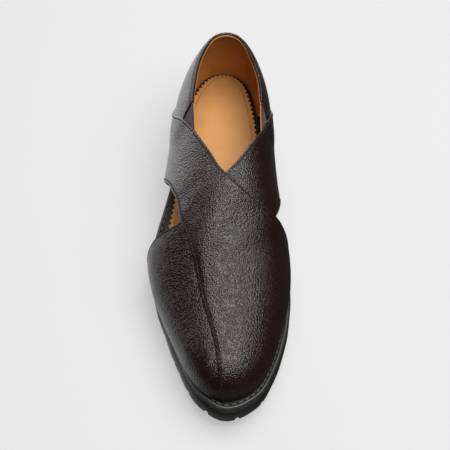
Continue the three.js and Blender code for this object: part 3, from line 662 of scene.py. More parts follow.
def gore_lining(name, corners, material):
    """Thin lining inside a gore: the same patch of the last, a little deeper."""
    i, j = np.meshgrid(np.linspace(-0.04, 1.04, 21), np.linspace(0.02, 1.02, 13), indexing="ij")
    base, n = gore_patch(corners, i, j)
    points, faces = shell(base - n * 1.5, base - n * 0.85)
    return make_object(name, points, faces, material)


def gore_skin(name, corners, material):
    """An elastic gore: a patch of the last between three corners, with its top hem."""
    i, j = np.meshgrid(np.linspace(0, 1, 41), np.linspace(0.02, 1, 25), indexing="ij")
    base, n = gore_patch(corners, i, j)
    hem = 0.35 * smooth((j - 0.86) / 0.04)
    rib = 0.06 * np.sin(i * 2 * np.pi * 20)
    points, faces = shell(base - n * 0.75, base + n * (0.25 + hem + rib)[..., None])
    uv = np.stack([i * 26, j * 14], -1).reshape(-1, 2)
    return make_object(name, points, faces, material, uv=np.vstack([uv, uv]))


# ---- outlines and layers of the stack

def outline(left, right, heel_y, length, rows):
    """Both sides of a plan from heel to toe, in equal steps along each side."""
    u = np.linspace(0, 1, 4001)
    sides = []
    for x in (-left(u), right(u)):
        p = np.stack([x, heel_y - length * share_of(u)], -1)
        s = run_along(p)
        at = np.linspace(0, s[-1], rows + 1)
        sides.append(np.stack([np.interp(at, s, p[:, 0]), np.interp(at, s, p[:, 1])], -1))
    return np.stack(sides, 1)


def inset(plan, distance):
    """Moves both sides of a plan inward by a distance, which may change from row to row."""
    loop = around_plan(plan)
    along = unit(np.roll(loop, -1, axis=0) - np.roll(loop, 1, axis=0))
    inward = np.stack([-along[:, 1], along[:, 0]], -1)
    moved = loop + inward * around_plan(np.broadcast_to(distance, plan.shape[:2]))[:, None]
    rows = len(plan)
    right = np.concatenate([moved[:1], moved[rows:][::-1], moved[rows - 1:rows]])
    return np.stack([moved[:rows], right], 1)


def layer(name, plan, levels, material, slot):
    """A closed plate: its rim passes through levels of inset and height, with flat caps. Its
    pattern map holds the run along the rim and the level."""
    loops = []
    for gap, rise in levels:
        p = around_plan(inset(plan, gap))
        loops.append(raised(p, feather_at(p[:, 1]) + rise))
    count = len(loops[0])
    faces = [grid_faces(len(loops), count, wrap=True)]
    k = np.arange(len(plan) - 1)
    other = (count - k) % count
    for base, flip in ((0, False), ((len(loops) - 1) * count, True)):
        cap = np.stack([k, k + 1, (count - k - 1) % count, other], -1) + base
        faces.append(cap if flip else cap[:, ::-1])
    uv = np.stack([np.tile(run_along(loops[0]), len(loops)),
                   np.repeat(np.arange(len(loops)), count)], -1)
    return make_object(name, np.concatenate(loops), np.vstack(faces), material, uv=uv)


def sole_plan(rows=260):
    """Outline of the sole."""
    return outline(sole_lateral, sole_medial, SOLE_LENGTH / 2, SOLE_LENGTH, rows)


def feather_plan(rows=260):
    """Outline of the upper where it meets the sole."""
    return outline(lambda u: lateral(u) * fullness(u, 0), lambda u: medial(u) * fullness(u, 0),
                   HEEL_Y, UPPER_LENGTH, rows)


def ground(y):
    """Height of the sole's foot: flat under the ball, springing up at the toe."""
    return np.maximum(0, feather_at(y) - FOREFOOT_STACK)


def insole_skin(material, depth):
    """The tan insole: rows across the foot, whose ends step in and out in even teeth of a
    depth; the pattern map holds the run along the edge and the distance from it."""
    per = 8
    plan = feather_plan(INSOLE_TEETH * per)
    tooth = np.arange(INSOLE_TEETH * per + 1) / per
    wave = 1 - np.abs(2 * (tooth % 1) - 1)
    cut = INSOLE_MARGIN + np.stack([wave, wave], 1) * depth
    edge = inset(plan, cut)
    core = inset(plan, INSOLE_MARGIN + depth + 0.4)
    inner = [0.0, 0.12, 0.4, 0.8, 1.0]
    fan = np.linspace(0, 1, 9)[1:]
    middle = core.mean(1)
    rows = []
    for side in (0, 1):
        band = [mix(edge[:, side], core[:, side], f) for f in inner]
        band += [mix(core[:, side], middle, f) for f in fan]
        rows.append(np.stack(band, 1))
    plan_grid = np.concatenate([rows[0], rows[1][:, -2::-1]], 1)
    away = [np.linalg.norm(plan_grid - plan[:, side, None], axis=-1) for side in (0, 1)]
    d = np.minimum(*away) - INSOLE_MARGIN
    plan_grid = plan_grid + (0, INSOLE_SHIFT)
    base = feather_at(plan_grid[..., 1]) + FOOTBED_RISE + FIT
    bevel = np.zeros(plan_grid.shape[1])
    bevel[[0, -1]], bevel[[1, -2]] = 0.35, 0.08
    dish = 0.5 * np.clip(1 - d / 26, 0, 1) ** 2
    points, faces = shell(raised(plan_grid, base - 0.1),
                          raised(plan_grid, base + INSOLE_THICKNESS - bevel + dish))
    run = np.broadcast_to(tooth[:, None], d.shape)
    uv = np.stack([run, d], -1).reshape(-1, 2)
    return make_object("insole_leather", points, faces, material, uv=np.vstack([uv, uv]))


def footbed_skin(material):
    """Dark covered board with a rolled edge, down inside the welt."""
    top = FOOTBED_RISE
    return layer("footbed_cover", feather_plan(), [
        (16, top - 0.1), (6, top), (1.9, top), (1.1, top - 0.15), (0.6, top - 0.5),
        (0.4, top - 1.1), (0.4, -WELT_FOOT + 0.1)], material, "footbed_leather")


def welt_skin(material):
    """The welt: a ring round the feather line, with a groove for its seam and a wheeled,
    rounded rim. The profile holds inset, rise and share of the wheel's mark."""
    rows = 700
    plan, hole = inset(sole_plan(rows), WELT_INSET), around_plan(feather_plan(rows))
    t = WELT_THICKNESS
    run = run_along(around_plan(plan))
    wheel = 0.10 * np.cos(2 * np.pi * run / WHEEL_PITCH)
    profile = [(3.0, -0.6, 0), (2.3, -0.6, 0), (2.0, -0.45, 0), (1.75, -0.1, 0.3),
               (1.4, 0.0, 0.5), (1.0, -0.04, 0.6), (0.6, -0.16, 0.6), (0.3, -0.4, 0.4),
               (0.08, -0.8, 0.2), (0.0, -1.2, 0), (0.0, -t + 0.3, 0), (0.2, -t, 0), (2.0, -t, 0)]
    rings = []
    for gap, rise, wave in profile:
        p = around_plan(inset(plan, gap))
        rings.append(raised(p, feather_at(p[:, 1]) - WELT_TOP + rise + wheel * wave))
    for rise in (-t, -0.6):
        rings.append(raised(hole, feather_at(hole[:, 1]) - WELT_TOP + rise))
    points = np.concatenate(rings)
    faces = grid_faces(len(rings) + 1, len(run), wrap=True) % len(points)
    uv = np.stack([np.tile(run, len(rings)), np.repeat(np.arange(len(rings)), len(run))], -1)
    return make_object("welt_strip", points, faces, material, uv=uv)


def midsole_skin(material):
    """Thin layer whose edge bulges a little and catches the light, and is painted pale as a
    highlight.
    """
    a = np.linspace(0, 1, 9) * np.pi
    t = MIDSOLE_THICKNESS
    levels = [(12, -MIDSOLE_TOP), (MIDSOLE_INSET + 1.2, -MIDSOLE_TOP)]
    levels += [(MIDSOLE_INSET + 0.9 * (1 - np.sin(x)), -MIDSOLE_TOP - t * (1 - np.cos(x)) / 2)
               for x in a]
    levels += [(MIDSOLE_INSET + 1.2, -MIDSOLE_FOOT), (12, -MIDSOLE_FOOT)]
    return layer("midsole_edge", sole_plan(), levels, material, "midsole_edge")


def outsole_skin(material):
    """The outsole's plate: a soft slope out from under the midsole, then its upright side."""
    t, low, step = OUTSOLE_TOP, OUTSOLE_FOOT, OUTSOLE_STEP
    return layer("outsole_plate", sole_plan(), [
        (12, -t), (step + 0.4, -t), (step - 0.1, -t - 0.3), (0.7, -t - 1.3), (0.35, -t - 2.4),
        (0.1, -t - 3.4), (0.0, -t - 4.3), (0.0, -low + 0.3), (0.3, -low), (12, -low)],
        material, "rubber")


def block_mesh(high, low):
    """Prisms between two polygons: high and low are arrays of shape (blocks, corners, 3)."""
    blocks, corners = high.shape[:2]
    points = np.concatenate([high, low], 1).reshape(-1, 3)
    base = (np.arange(blocks) * 2 * corners)[:, None, None]
    k = np.arange(corners)
    sides = np.stack([k, (k + 1) % corners, (k + 1) % corners + corners, k + corners], -1)
    half = corners // 2
    j = np.arange(half - 1)
    cap = np.stack([j, j + 1, corners - 2 - j, corners - 1 - j], -1)
    faces = np.concatenate([(sides + base).reshape(-1, 4), (cap[:, ::-1] + base).reshape(-1, 4),
                            (cap + corners + base).reshape(-1, 4)])
    return points, faces


def rim_blocks(side, sign, starts, ends, depth, top, bottom, flare):
    """Lugs along one side of the sole: each follows the edge from start to end in
    millimetres, runs inward by depth, and is longer at its root than at its foot."""
    s = run_along(side)

    def at(run):
        return np.stack([np.interp(run, s, side[:, 0]), np.interp(run, s, side[:, 1])], -1)

    def ring(grow, drop):
        f = np.linspace(0, 1, 5)
        run = (starts - grow)[:, None] + f * (ends - starts + 2 * grow)[:, None]
        outer = at(run)
        along = unit(at(run + 1.5) - at(run - 1.5))
        inward = np.stack([-along[..., 1], along[..., 0]], -1) * sign
        back = outer + inward * depth
        squeeze = mix(back.mean(1, keepdims=True), back, 0.84)
        outer = outer + inward * drop
        return np.concatenate([outer, squeeze[:, ::-1]], 1)

    high, low = ring(flare, 0.15), ring(0.0, 0.35)
    return block_mesh(raised(high, top(high[..., 1])), raised(low, bottom(low[..., 1])))


def join(parts):
    """Several sets of points and faces as one."""
    points, faces, base = [], [], 0
    for p, f in parts:
        points.append(p)
        faces.append(f + base)
        base += len(p)
    return np.concatenate(points), np.concatenate(faces)


def soften(obj):
    """Moulded rubber has no sharp edges."""
    m = obj.modifiers.new("soft edges", "BEVEL")
    m.width, m.segments, m.limit_method, m.angle_limit = RUBBER_BEVEL * MM, 2, "ANGLE", 0.6
    m.harden_normals = False


def tread_skin(material):
    """Lugs along both edges of the forefoot, longer round the toe, and bars between them."""
    plan = inset(sole_plan(900), LUG_SIDE_STEP)
    rim = np.concatenate([plan[:, 0], plan[-2::-1, 1]])
    tip = run_along(rim)[len(plan) - 1]
    toe = TOE_NOTCHES * BALL_WIDTH
    reach = tip * (1 - LUGS_FROM)
    notches = tip + np.concatenate([np.arange(toe[0] - LUG_PITCH, -reach, -LUG_PITCH)[::-1], toe,
                                    np.arange(toe[-1] + LUG_PITCH, reach, LUG_PITCH)])
    root = lambda y: feather_at(y) - OUTSOLE_FOOT + LUG_ROOT
    lugs = rim_blocks(rim, 1, notches[:-1] + LUG_GAP / 2, notches[1:] - LUG_GAP / 2, LUG_DEPTH,
                      root, ground, LUG_FLARE)
    bars = np.arange(BARS)
    y = SOLE_LENGTH * (0.5 - BARS_FROM) - bars * BAR_PITCH
    u = station_of(0.5 - y / SOLE_LENGTH)
    middle = (sole_medial(u) - sole_lateral(u)) / 2
    half = BAR_HALF_LENGTH * (1 - 0.09 * bars)
    shape = np.array([(-1, -0.8), (-0.55, -1.1), (0, -1.16), (0.55, -1.1), (1, -0.8),
                      (1, 1.0), (0.55, 0.7), (0, 0.64), (-0.55, 0.7), (-1, 1.0)])
    xy = np.stack([middle[:, None] + half[:, None] * shape[:, 0],
                   y[:, None] + BAR_HALF_WIDTH * shape[:, 1]], -1)
    foot = mix(xy.mean(1, keepdims=True), xy, 0.94)
    points, faces = join([lugs, block_mesh(raised(xy, root(xy[..., 1])),
                                           raised(foot, ground(xy[..., 1])))])
    obj = make_object("tread_lugs", points, faces, material, shade=False)
    soften(obj)
    return obj


def heel_skin(material):
    """The heel block: the back of the sole's plan, narrowing to the floor, with a hollow
    breast and a foot cut into lugs."""
    plan = inset(sole_plan(900), HEEL_INSET)
    breast = SOLE_LENGTH / 2 - HEEL_LENGTH
    rows = int(np.argmin(np.abs(plan[:, 0, 1] - breast)))
    steps = np.unique(np.round(np.linspace(0, rows, 110)).astype(int))
    across = np.linspace(0, 1, 15)

    def sheet(gap, z):
        p = inset(plan, gap)[steps]
        g = mix(p[:, :1], p[:, 1:], across[None, :, None])
        near = smooth((breast + BREAST_REACH - g[..., 1]) / BREAST_REACH)
        pull = near * BREAST_HOLLOW * (1 - (2 * across - 1) ** 2)
        g = g + np.stack([np.zeros_like(pull), pull], -1)
        return raised(g, z(g[..., 1]))

    def level(at):
        return lambda y: np.full(np.shape(y), at)

    root = level(HEEL_FOOT + 0.2)
    wall = shell(sheet(1.05, level(HEEL_FOOT)),
                 sheet(0.0, lambda y: feather_at(y) - OUTSOLE_FOOT - FIT))
    core = shell(sheet(9.0, level(0.0)), sheet(8.8, root))
    parts = [wall, core]
    for side, sign in ((0, 1), (1, -1)):
        p = inset(plan, 1.0)[:, side]
        end = run_along(p)[rows] - 0.3
        starts = np.arange(LUG_GAP / 2, end - 3, LUG_PITCH)
        ends = np.minimum(starts + LUG_PITCH - LUG_GAP, end)
        parts.append(rim_blocks(p, sign, starts, ends, HEEL_LUG_DEPTH, root, level(0.0),
                                HEEL_LUG_FLARE))
    points, faces = join(parts)
    obj = make_object("heel_block", points, faces, material, shade=False)
    soften(obj)
    return obj


# ---- stitches

def grain_of_thread(length, width):
    """One stitch: a closed spindle along x, flattened below."""
    along = np.array([-0.5, -0.42, -0.2, 0.2, 0.42, 0.5]) * length
    radius = np.array([0.0, 0.62, 1.0, 1.0, 0.62, 0.0]) * width / 2
    a = np.arange(6) / 6 * 2 * np.pi
    ring = np.stack([np.broadcast_to(along[:, None], (6, 6)), radius[:, None] * np.cos(a),
                     radius[:, None] * np.sin(a) * 0.85], -1)
    return ring.reshape(-1, 3), grid_faces(6, 6, wrap=True)


def resample(path, normals, pitch, start):
    """Places, directions and normals along a path, one pitch apart."""
    s = run_along(path)
    count = int((s[-1] - start - 0.5) / pitch)
    at = start + pitch * (np.arange(count) + 0.5)
    read = lambda q, x: np.stack([np.interp(x, s, q[:, k]) for k in range(3)], -1)
    here = read(path, at)
    along = unit(read(path, at + 0.4) - read(path, at - 0.4))
    n = read(normals, at)
    n = unit(n - along * (n * along).sum(-1, keepdims=True))
    return here, along, n


def stitch_row(name, rows, material, slot, pitch, length, width, lift=0.12, start=0.5):
    """Stitches set one after another along paths on the leather."""
    grain, quads = grain_of_thread(length, width)
    points, faces, base = [], [], 0
    for path, normals in rows:
        here, along, n = resample(path, normals, pitch, start)
        side = np.cross(n, along)
        p = (here[:, None] + grain[:, :1] * along[:, None] + grain[:, 1:2] * side[:, None]
             + grain[:, 2:] * n[:, None] + n[:, None] * lift)
        points.append(p.reshape(-1, 3))
        faces.append((quads[None] + (np.arange(len(here)) * len(grain))[:, None, None]
                      ).reshape(-1, 4) + base)
        base += len(here) * len(grain)
    return make_object(name, np.concatenate(points), np.concatenate(faces), material)


def panel_row(panel, end, low, high):
    """The seam along a panel's front (0) or rear (1) edge, between two ribs."""
    t = np.linspace(low, high, 600)
    reach = SEAM_INSET / np.maximum(panel.speed(t, end), 1e-3)
    w = reach if end == 0 else 1 - reach
    return panel.point(t, w, WALL - 0.12), last_normal(*panel.at(t, w))


def collar_row(up):
    """The seam under the collar's roll, at a share of the counter's height."""
    a = np.linspace(-1, 1, 500)
    u = np.full_like(a, up)
    n = counter_normal(a, u)
    return counter_point(a, u) + n * (WALL - 0.1), n


# ---- materials

def node_tree(name):
    """A new material with one Principled shader."""
    material = bpy.data.materials.new(name)
    material.use_nodes = True
    tree = material.node_tree
    tree.nodes.clear()
    out = tree.nodes.new("ShaderNodeOutputMaterial")
    shader = tree.nodes.new("ShaderNodeBsdfPrincipled")
    tree.links.new(shader.outputs["BSDF"], out.inputs["Surface"])
    return material, tree, shader


def add(tree, kind, inputs=None, **settings):
    """A node with its settings and inputs: an input may be a value or another node's socket."""
    node = tree.nodes.new(kind)
    for key, value in settings.items():
        setattr(node, key, value)
    for key, value in (inputs or {}).items():
        socket = node.inputs[key]
        if isinstance(value, bpy.types.NodeSocket):
            tree.links.new(value, socket)
        else:
            socket.default_value = value
    return node


def ramp(tree, source, stops):
    """Colour at a value, between stops of position and colour."""
    node = add(tree, "ShaderNodeValToRGB", {"Fac": source})
    first, last = node.color_ramp.elements
    first.position, last.position = stops[0][0], stops[-1][0]
    first.color, last.color = stops[0][1], stops[-1][1]
    for position, colour in stops[1:-1]:
        node.color_ramp.elements.new(position).color = colour
    return node.outputs["Color"]


def maths(tree, operation, *values):
    """One step of arithmetic on numbers or sockets."""
    return add(tree, "ShaderNodeMath", dict(enumerate(values)), operation=operation).outputs[0]


def new_group(name, inputs, outputs):
    """A node group with its sockets: inputs are name, kind and value, outputs name and kind."""
    group = bpy.data.node_groups.new(name, "ShaderNodeTree")
    for label, kind, value in inputs:
        socket = group.interface.new_socket(name=label, in_out="INPUT", socket_type=kind)
        socket.default_value = value
    for label, kind in outputs:
        group.interface.new_socket(name=label, in_out="OUTPUT", socket_type=kind)
    return group, group.nodes.new("NodeGroupInput"), group.nodes.new("NodeGroupOutput")


def pebble_group():
    """Pebbled leather: cells of two sizes, pushed about by noise, high in the middle and
    low in the creases between them, its depth changing slowly over the leather."""
    group, into, out = new_group("pebble_grain", [
        ("Cells per metre", "NodeSocketFloat", 640.0), ("Depth", "NodeSocketFloat", 1.0)],
        [("Height", "NodeSocketFloat"), ("Crease shade", "NodeSocketFloat"),
         ("Patch", "NodeSocketFloat")])
    coords = add(group, "ShaderNodeTexCoord").outputs["Object"]
    push = add(group, "ShaderNodeTexNoise", {"Vector": coords, "Scale": 260.0, "Detail": 2.0})
    shift = add(group, "ShaderNodeVectorMath", {0: push.outputs["Color"], "Scale": 0.0011},
                operation="SCALE").outputs[0]
    moved = add(group, "ShaderNodeVectorMath", {0: coords, 1: shift}, operation="ADD").outputs[0]
    big = add(group, "ShaderNodeTexVoronoi", {"Vector": moved, "Scale": into.outputs[0]},
              feature="SMOOTH_F1")
    big.inputs["Smoothness"].default_value = 0.35
    edge = add(group, "ShaderNodeTexVoronoi", {"Vector": moved, "Scale": into.outputs[0]},
               feature="DISTANCE_TO_EDGE")
    finer = maths(group, "MULTIPLY", into.outputs[0], 2.1)
    small = add(group, "ShaderNodeTexVoronoi", {"Vector": moved, "Scale": finer},
                feature="SMOOTH_F1")
    small.inputs["Smoothness"].default_value = 0.4
    valley = maths(group, "MINIMUM", maths(group, "MULTIPLY", edge.outputs["Distance"], 4.0), 1.0)
    dome = maths(group, "SUBTRACT", 1.0, big.outputs["Distance"])
    fine = maths(group, "SUBTRACT", 1.0, small.outputs["Distance"])
    height_sum = maths(group, "ADD", maths(group, "MULTIPLY", dome, 0.6),
                       maths(group, "MULTIPLY", fine, 0.12))
    height_sum = maths(group, "ADD", height_sum, maths(group, "MULTIPLY", valley, 0.4))
    patch = add(group, "ShaderNodeTexNoise", {"Vector": coords, "Scale": 26.0, "Detail": 3.0})
    vary = maths(group, "ADD", maths(group, "MULTIPLY", patch.outputs["Fac"], 0.4), 0.8)
    scaled = maths(group, "MULTIPLY", maths(group, "MULTIPLY", height_sum, into.outputs[1]), vary)
    group.links.new(scaled, out.inputs["Height"])
    # The crease mask goes out as well, to paint shade into the creases' colour.
    group.links.new(valley, out.inputs["Crease shade"])
    group.links.new(patch.outputs["Fac"], out.inputs["Patch"])
    return group


def wear_group():
    """Uneven tone: a broad stain and fine specks."""
    group, into, out = new_group("uneven_tone", [("Size", "NodeSocketFloat", 40.0)],
                                 [("Tone", "NodeSocketFloat"), ("Speck", "NodeSocketFloat")])
    coords = add(group, "ShaderNodeTexCoord").outputs["Object"]
    broad = add(group, "ShaderNodeTexNoise", {"Vector": coords, "Scale": into.outputs[0],
                                              "Detail": 4.0, "Roughness": 0.6})
    speck = add(group, "ShaderNodeTexNoise", {"Vector": coords, "Scale": 900.0, "Detail": 2.0})
    group.links.new(broad.outputs["Fac"], out.inputs["Tone"])
    group.links.new(speck.outputs["Fac"], out.inputs["Speck"])
    return group


def use_group(tree, group, inputs):
    """A node group in a material, with its inputs set."""
    node = add(tree, "ShaderNodeGroup", node_tree=group)
    for key, value in inputs.items():
        node.inputs[key].default_value = value
    return node


def shade(colour, factor):
    """A colour made darker or lighter."""
    return tuple(c * factor for c in colour[:3]) + (1.0,)


def leather_material(groups, look):
    """Dark brown pebbled leather, warmer on the grain; painted shade turns the creases brown-black.
    """
    material, tree, shader = node_tree("pebbled_leather")
    colour = tuple(look.leather)
    grain = use_group(tree, groups["pebble"], {"Cells per metre": 1 / (look.pebble_size * MM),
                                               "Depth": 1.0})
    tone = use_group(tree, groups["tone"], {"Size": 30.0})
    # Painted shade: the colour drops to 0.45 of the leather's in the creases between the pebbles.
    base = ramp(tree, grain.outputs["Crease shade"], [(0.0, shade(colour, 0.45)), (0.45, colour)])
    tint = ramp(tree, tone.outputs["Tone"], [(0.3, shade(colour, 0.8)), (0.7, shade(colour, 1.3))])
    blend = add(tree, "ShaderNodeMix", {0: 0.5, 6: base, 7: tint}, data_type="RGBA",
                blend_type="MIX")
    tree.links.new(blend.outputs[2], shader.inputs["Base Color"])
    rough = add(tree, "ShaderNodeMapRange", {0: grain.outputs["Patch"], 3: look.gloss - 0.05,
                                             4: look.gloss + 0.07})
    tree.links.new(rough.outputs[0], shader.inputs["Roughness"])
    bump = add(tree, "ShaderNodeBump", {"Height": grain.outputs["Height"], "Strength": 0.8,
                                        "Distance": 0.0004})
    tree.links.new(bump.outputs["Normal"], shader.inputs["Normal"])
    shader.inputs["Specular IOR Level"].default_value = 0.5
    return material


def soft_leather(name, groups, colour, rough, depth=0.00008, scale=1400.0, sheen=0.0):
    """Smooth lining or insole leather: close pores and an uneven tan."""
    material, tree, shader = node_tree(name)
    tone = use_group(tree, groups["tone"], {"Size": 34.0})
    base = ramp(tree, tone.outputs["Tone"], [(0.25, shade(colour, 0.82)), (0.5, tuple(colour)),
                                             (0.8, shade(colour, 1.12))])
    tree.links.new(base, shader.inputs["Base Color"])
    coords = add(tree, "ShaderNodeTexCoord").outputs["Object"]
    pores = add(tree, "ShaderNodeTexVoronoi", {"Vector": coords, "Scale": scale}, feature="F1")
    bump = add(tree, "ShaderNodeBump", {"Height": pores.outputs["Distance"], "Strength": 0.35,
                                        "Distance": depth})
    tree.links.new(bump.outputs["Normal"], shader.inputs["Normal"])
    gloss = add(tree, "ShaderNodeMapRange", {0: tone.outputs["Speck"], 3: rough - 0.06,
                                             4: rough + 0.08})
    tree.links.new(gloss.outputs[0], shader.inputs["Roughness"])
    shader.inputs["Specular IOR Level"].default_value = 0.25
    if sheen:
        shader.inputs["Sheen Weight"].default_value = sheen
        shader.inputs["Sheen Roughness"].default_value = 0.5
    return material, tree, shader, base, bump


def insole_material(groups, look):
    """Tan insole with a line of pinholes in painted shade inside its teeth, drawn on its pattern
    map.
    """
    material, tree, shader, base, bump = soft_leather("insole_tan", groups, look.tan, 0.5)
    uv = add(tree, "ShaderNodeUVMap", uv_map="pattern")
    parts = add(tree, "ShaderNodeSeparateXYZ", {0: uv.outputs[0]})
    run = maths(tree, "FRACT", maths(tree, "MULTIPLY", parts.outputs[0], 2.0))
    run = maths(tree, "MULTIPLY", maths(tree, "SUBTRACT", run, 0.5), 2.15)
    away = maths(tree, "SUBTRACT", parts.outputs[1], 4.4)
    spot = maths(tree, "SQRT", maths(tree, "ADD", maths(tree, "MULTIPLY", run, run),
                                     maths(tree, "MULTIPLY", away, away)))
    hole = add(tree, "ShaderNodeMapRange", {0: spot, 1: 0.28, 2: 0.5, 3: 1.0, 4: 0.0})
    # Painted shade: each pinhole is coloured at 0.12 of the tan.
    dark = add(tree, "ShaderNodeMix", {0: hole.outputs[0], 6: base, 7: shade(look.tan, 0.12)},
               data_type="RGBA")
    tree.links.new(dark.outputs[2], shader.inputs["Base Color"])
    pit = add(tree, "ShaderNodeBump", {"Height": hole.outputs[0], "Strength": 1.0,
                                       "Distance": 0.0004, "Normal": bump.outputs["Normal"]},
              invert=True)
    tree.links.new(pit.outputs["Normal"], shader.inputs["Normal"])
    return material


def elastic_material(look):
    """Woven elastic: fine upright ribs with crossing threads."""
    material, tree, shader = node_tree("elastic_weave")
    uv = add(tree, "ShaderNodeUVMap", uv_map="pattern").outputs[0]
    ribs = add(tree, "ShaderNodeTexWave", {"Vector": uv, "Scale": 0.38, "Distortion": 0.4,
                                           "Detail": 1.0}, bands_direction="X")
    cross = add(tree, "ShaderNodeTexWave", {"Vector": uv, "Scale": 0.8, "Distortion": 0.3},
                bands_direction="Y")
    weave = maths(tree, "ADD", maths(tree, "MULTIPLY", ribs.outputs["Fac"], 0.7),
                  maths(tree, "MULTIPLY", cross.outputs["Fac"], 0.3))
    colour = ramp(tree, weave, [(0.1, shade(look.elastic, 0.5)), (0.9, shade(look.elastic, 1.25))])
    tree.links.new(colour, shader.inputs["Base Color"])
    bump = add(tree, "ShaderNodeBump", {"Height": weave, "Strength": 0.6, "Distance": 0.0002})
    tree.links.new(bump.outputs["Normal"], shader.inputs["Normal"])
    shader.inputs["Roughness"].default_value = 0.85
    shader.inputs["Sheen Weight"].default_value = 0.15
    return material


def rubber_material(name, groups, colour, rough, depth=0.0001):
    """Moulded rubber or a waxed edge: near black, with a fine moulded grain."""
    material, tree, shader = node_tree(name)
    tone = use_group(tree, groups["tone"], {"Size": 55.0})
    base = ramp(tree, tone.outputs["Tone"], [(0.3, shade(colour, 0.75)),
                                             (0.75, shade(colour, 1.25))])
    tree.links.new(base, shader.inputs["Base Color"])
    gloss = add(tree, "ShaderNodeMapRange", {0: tone.outputs["Tone"], 3: rough - 0.08,
                                             4: rough + 0.08})
    tree.links.new(gloss.outputs[0], shader.inputs["Roughness"])
    bump = add(tree, "ShaderNodeBump", {"Height": tone.outputs["Speck"], "Strength": 0.4,
                                        "Distance": depth})
    tree.links.new(bump.outputs["Normal"], shader.inputs["Normal"])
    return material


def welt_material(groups, look):
    """Waxed welt, told apart on its pattern map: a pale rounded rim of painted highlight outside
    a black groove of painted shade.
    """
    material, tree, shader = node_tree("welt_leather")
    tone = use_group(tree, groups["tone"], {"Size": 55.0})
    uv = add(tree, "ShaderNodeUVMap", uv_map="pattern")
    ring = add(tree, "ShaderNodeSeparateXYZ", {0: uv.outputs[0]}).outputs[1]
    rim = add(tree, "ShaderNodeMapRange", {0: ring, 1: 2.2, 2: 3.2})
    # Painted shade in the groove at 0.3 of the rubber; painted highlight on the rim in the pale
    # edge colour.
    colour = add(tree, "ShaderNodeMix", {0: rim.outputs[0], 6: shade(look.rubber, 0.3),
                                         7: tuple(look.edge)}, data_type="RGBA")
    tree.links.new(colour.outputs[2], shader.inputs["Base Color"])
    gloss = add(tree, "ShaderNodeMapRange", {0: rim.outputs[0], 3: 0.85, 4: 0.42})
    tree.links.new(gloss.outputs[0], shader.inputs["Roughness"])
    bump = add(tree, "ShaderNodeBump", {"Height": tone.outputs["Speck"], "Strength": 0.4,
                                        "Distance": 0.00008})
    tree.links.new(bump.outputs["Normal"], shader.inputs["Normal"])
    return material


def thread_material(name, colour):
    """Waxed twisted thread."""
    material, tree, shader = node_tree(name)
    coords = add(tree, "ShaderNodeTexCoord").outputs["Object"]
    twist = add(tree, "ShaderNodeTexWave", {"Vector": coords, "Scale": 900.0, "Distortion": 1.5},
                bands_direction="DIAGONAL")
    base = ramp(tree, twist.outputs["Fac"], [(0.2, shade(colour, 0.6)), (0.9, shade(colour, 1.4))])
    tree.links.new(base, shader.inputs["Base Color"])
    bump = add(tree, "ShaderNodeBump", {"Height": twist.outputs["Fac"], "Strength": 0.4,
                                        "Distance": 0.0001})
    tree.links.new(bump.outputs["Normal"], shader.inputs["Normal"])
    shader.inputs["Roughness"].default_value = 0.55
    return material


def floor_material(look):
    """Pale studio floor, lit a little by itself so that it stays even round the shoe."""
    material, tree, shader = node_tree("studio_floor")
    coords = add(tree, "ShaderNodeTexCoord").outputs["Object"]
    noise = add(tree, "ShaderNodeTexNoise", {"Vector": coords, "Scale": 3.0, "Detail": 2.0})
    base = ramp(tree, noise.outputs["Fac"], [(0.3, shade(look.floor, 0.99)),
                                             (0.7, tuple(look.floor))])
    tree.links.new(base, shader.inputs["Base Color"])
    shader.inputs["Roughness"].default_value = 0.75
    shader.inputs["Specular IOR Level"].default_value = 0.0
    shader.inputs["Emission Color"].default_value = (1.0, 1.0, 1.0, 1.0)
    shader.inputs["Emission Strength"].default_value = look.glow
    return material


def room_light(world):
    """World light from the direction alone: for table and wall, a share of the side it comes
    from times a share by its height, added up."""
    world.use_nodes = True
    tree = world.node_tree
    way = add(tree, "ShaderNodeTexCoord").outputs["Generated"]
    height = add(tree, "ShaderNodeSeparateXYZ", {0: way}).outputs[2]
    level = maths(tree, "MULTIPLY_ADD", height, 0.5, 0.5)
    strength = ROOM_DARK
    for axis, reach, bright, stops in ROOM.values():
        side = add(tree, "ShaderNodeVectorMath", {0: way, 1: axis}, operation="DOT_PRODUCT")
        share = add(tree, "ShaderNodeMapRange", {0: side.outputs["Value"], 1: reach[0],
                                                 2: reach[1], 4: bright},
                    interpolation_type="SMOOTHSTEP")
        band = ramp(tree, level, [(at, (v, v, v, 1.0)) for at, v in stops])
        strength = maths(tree, "MULTIPLY_ADD", share.outputs[0], band, strength)
    background = tree.nodes["Background"]
    background.inputs["Color"].default_value = (1.0, 1.0, 1.0, 1.0)
    tree.links.new(strength, background.inputs["Strength"])


# ---- settings and operators

def colour_prop(name, description, value):
    """A colour setting."""
    return bpy.props.FloatVectorProperty(name=name, description=description, subtype="COLOR",
                                         size=4, min=0.0, max=1.0, default=value)


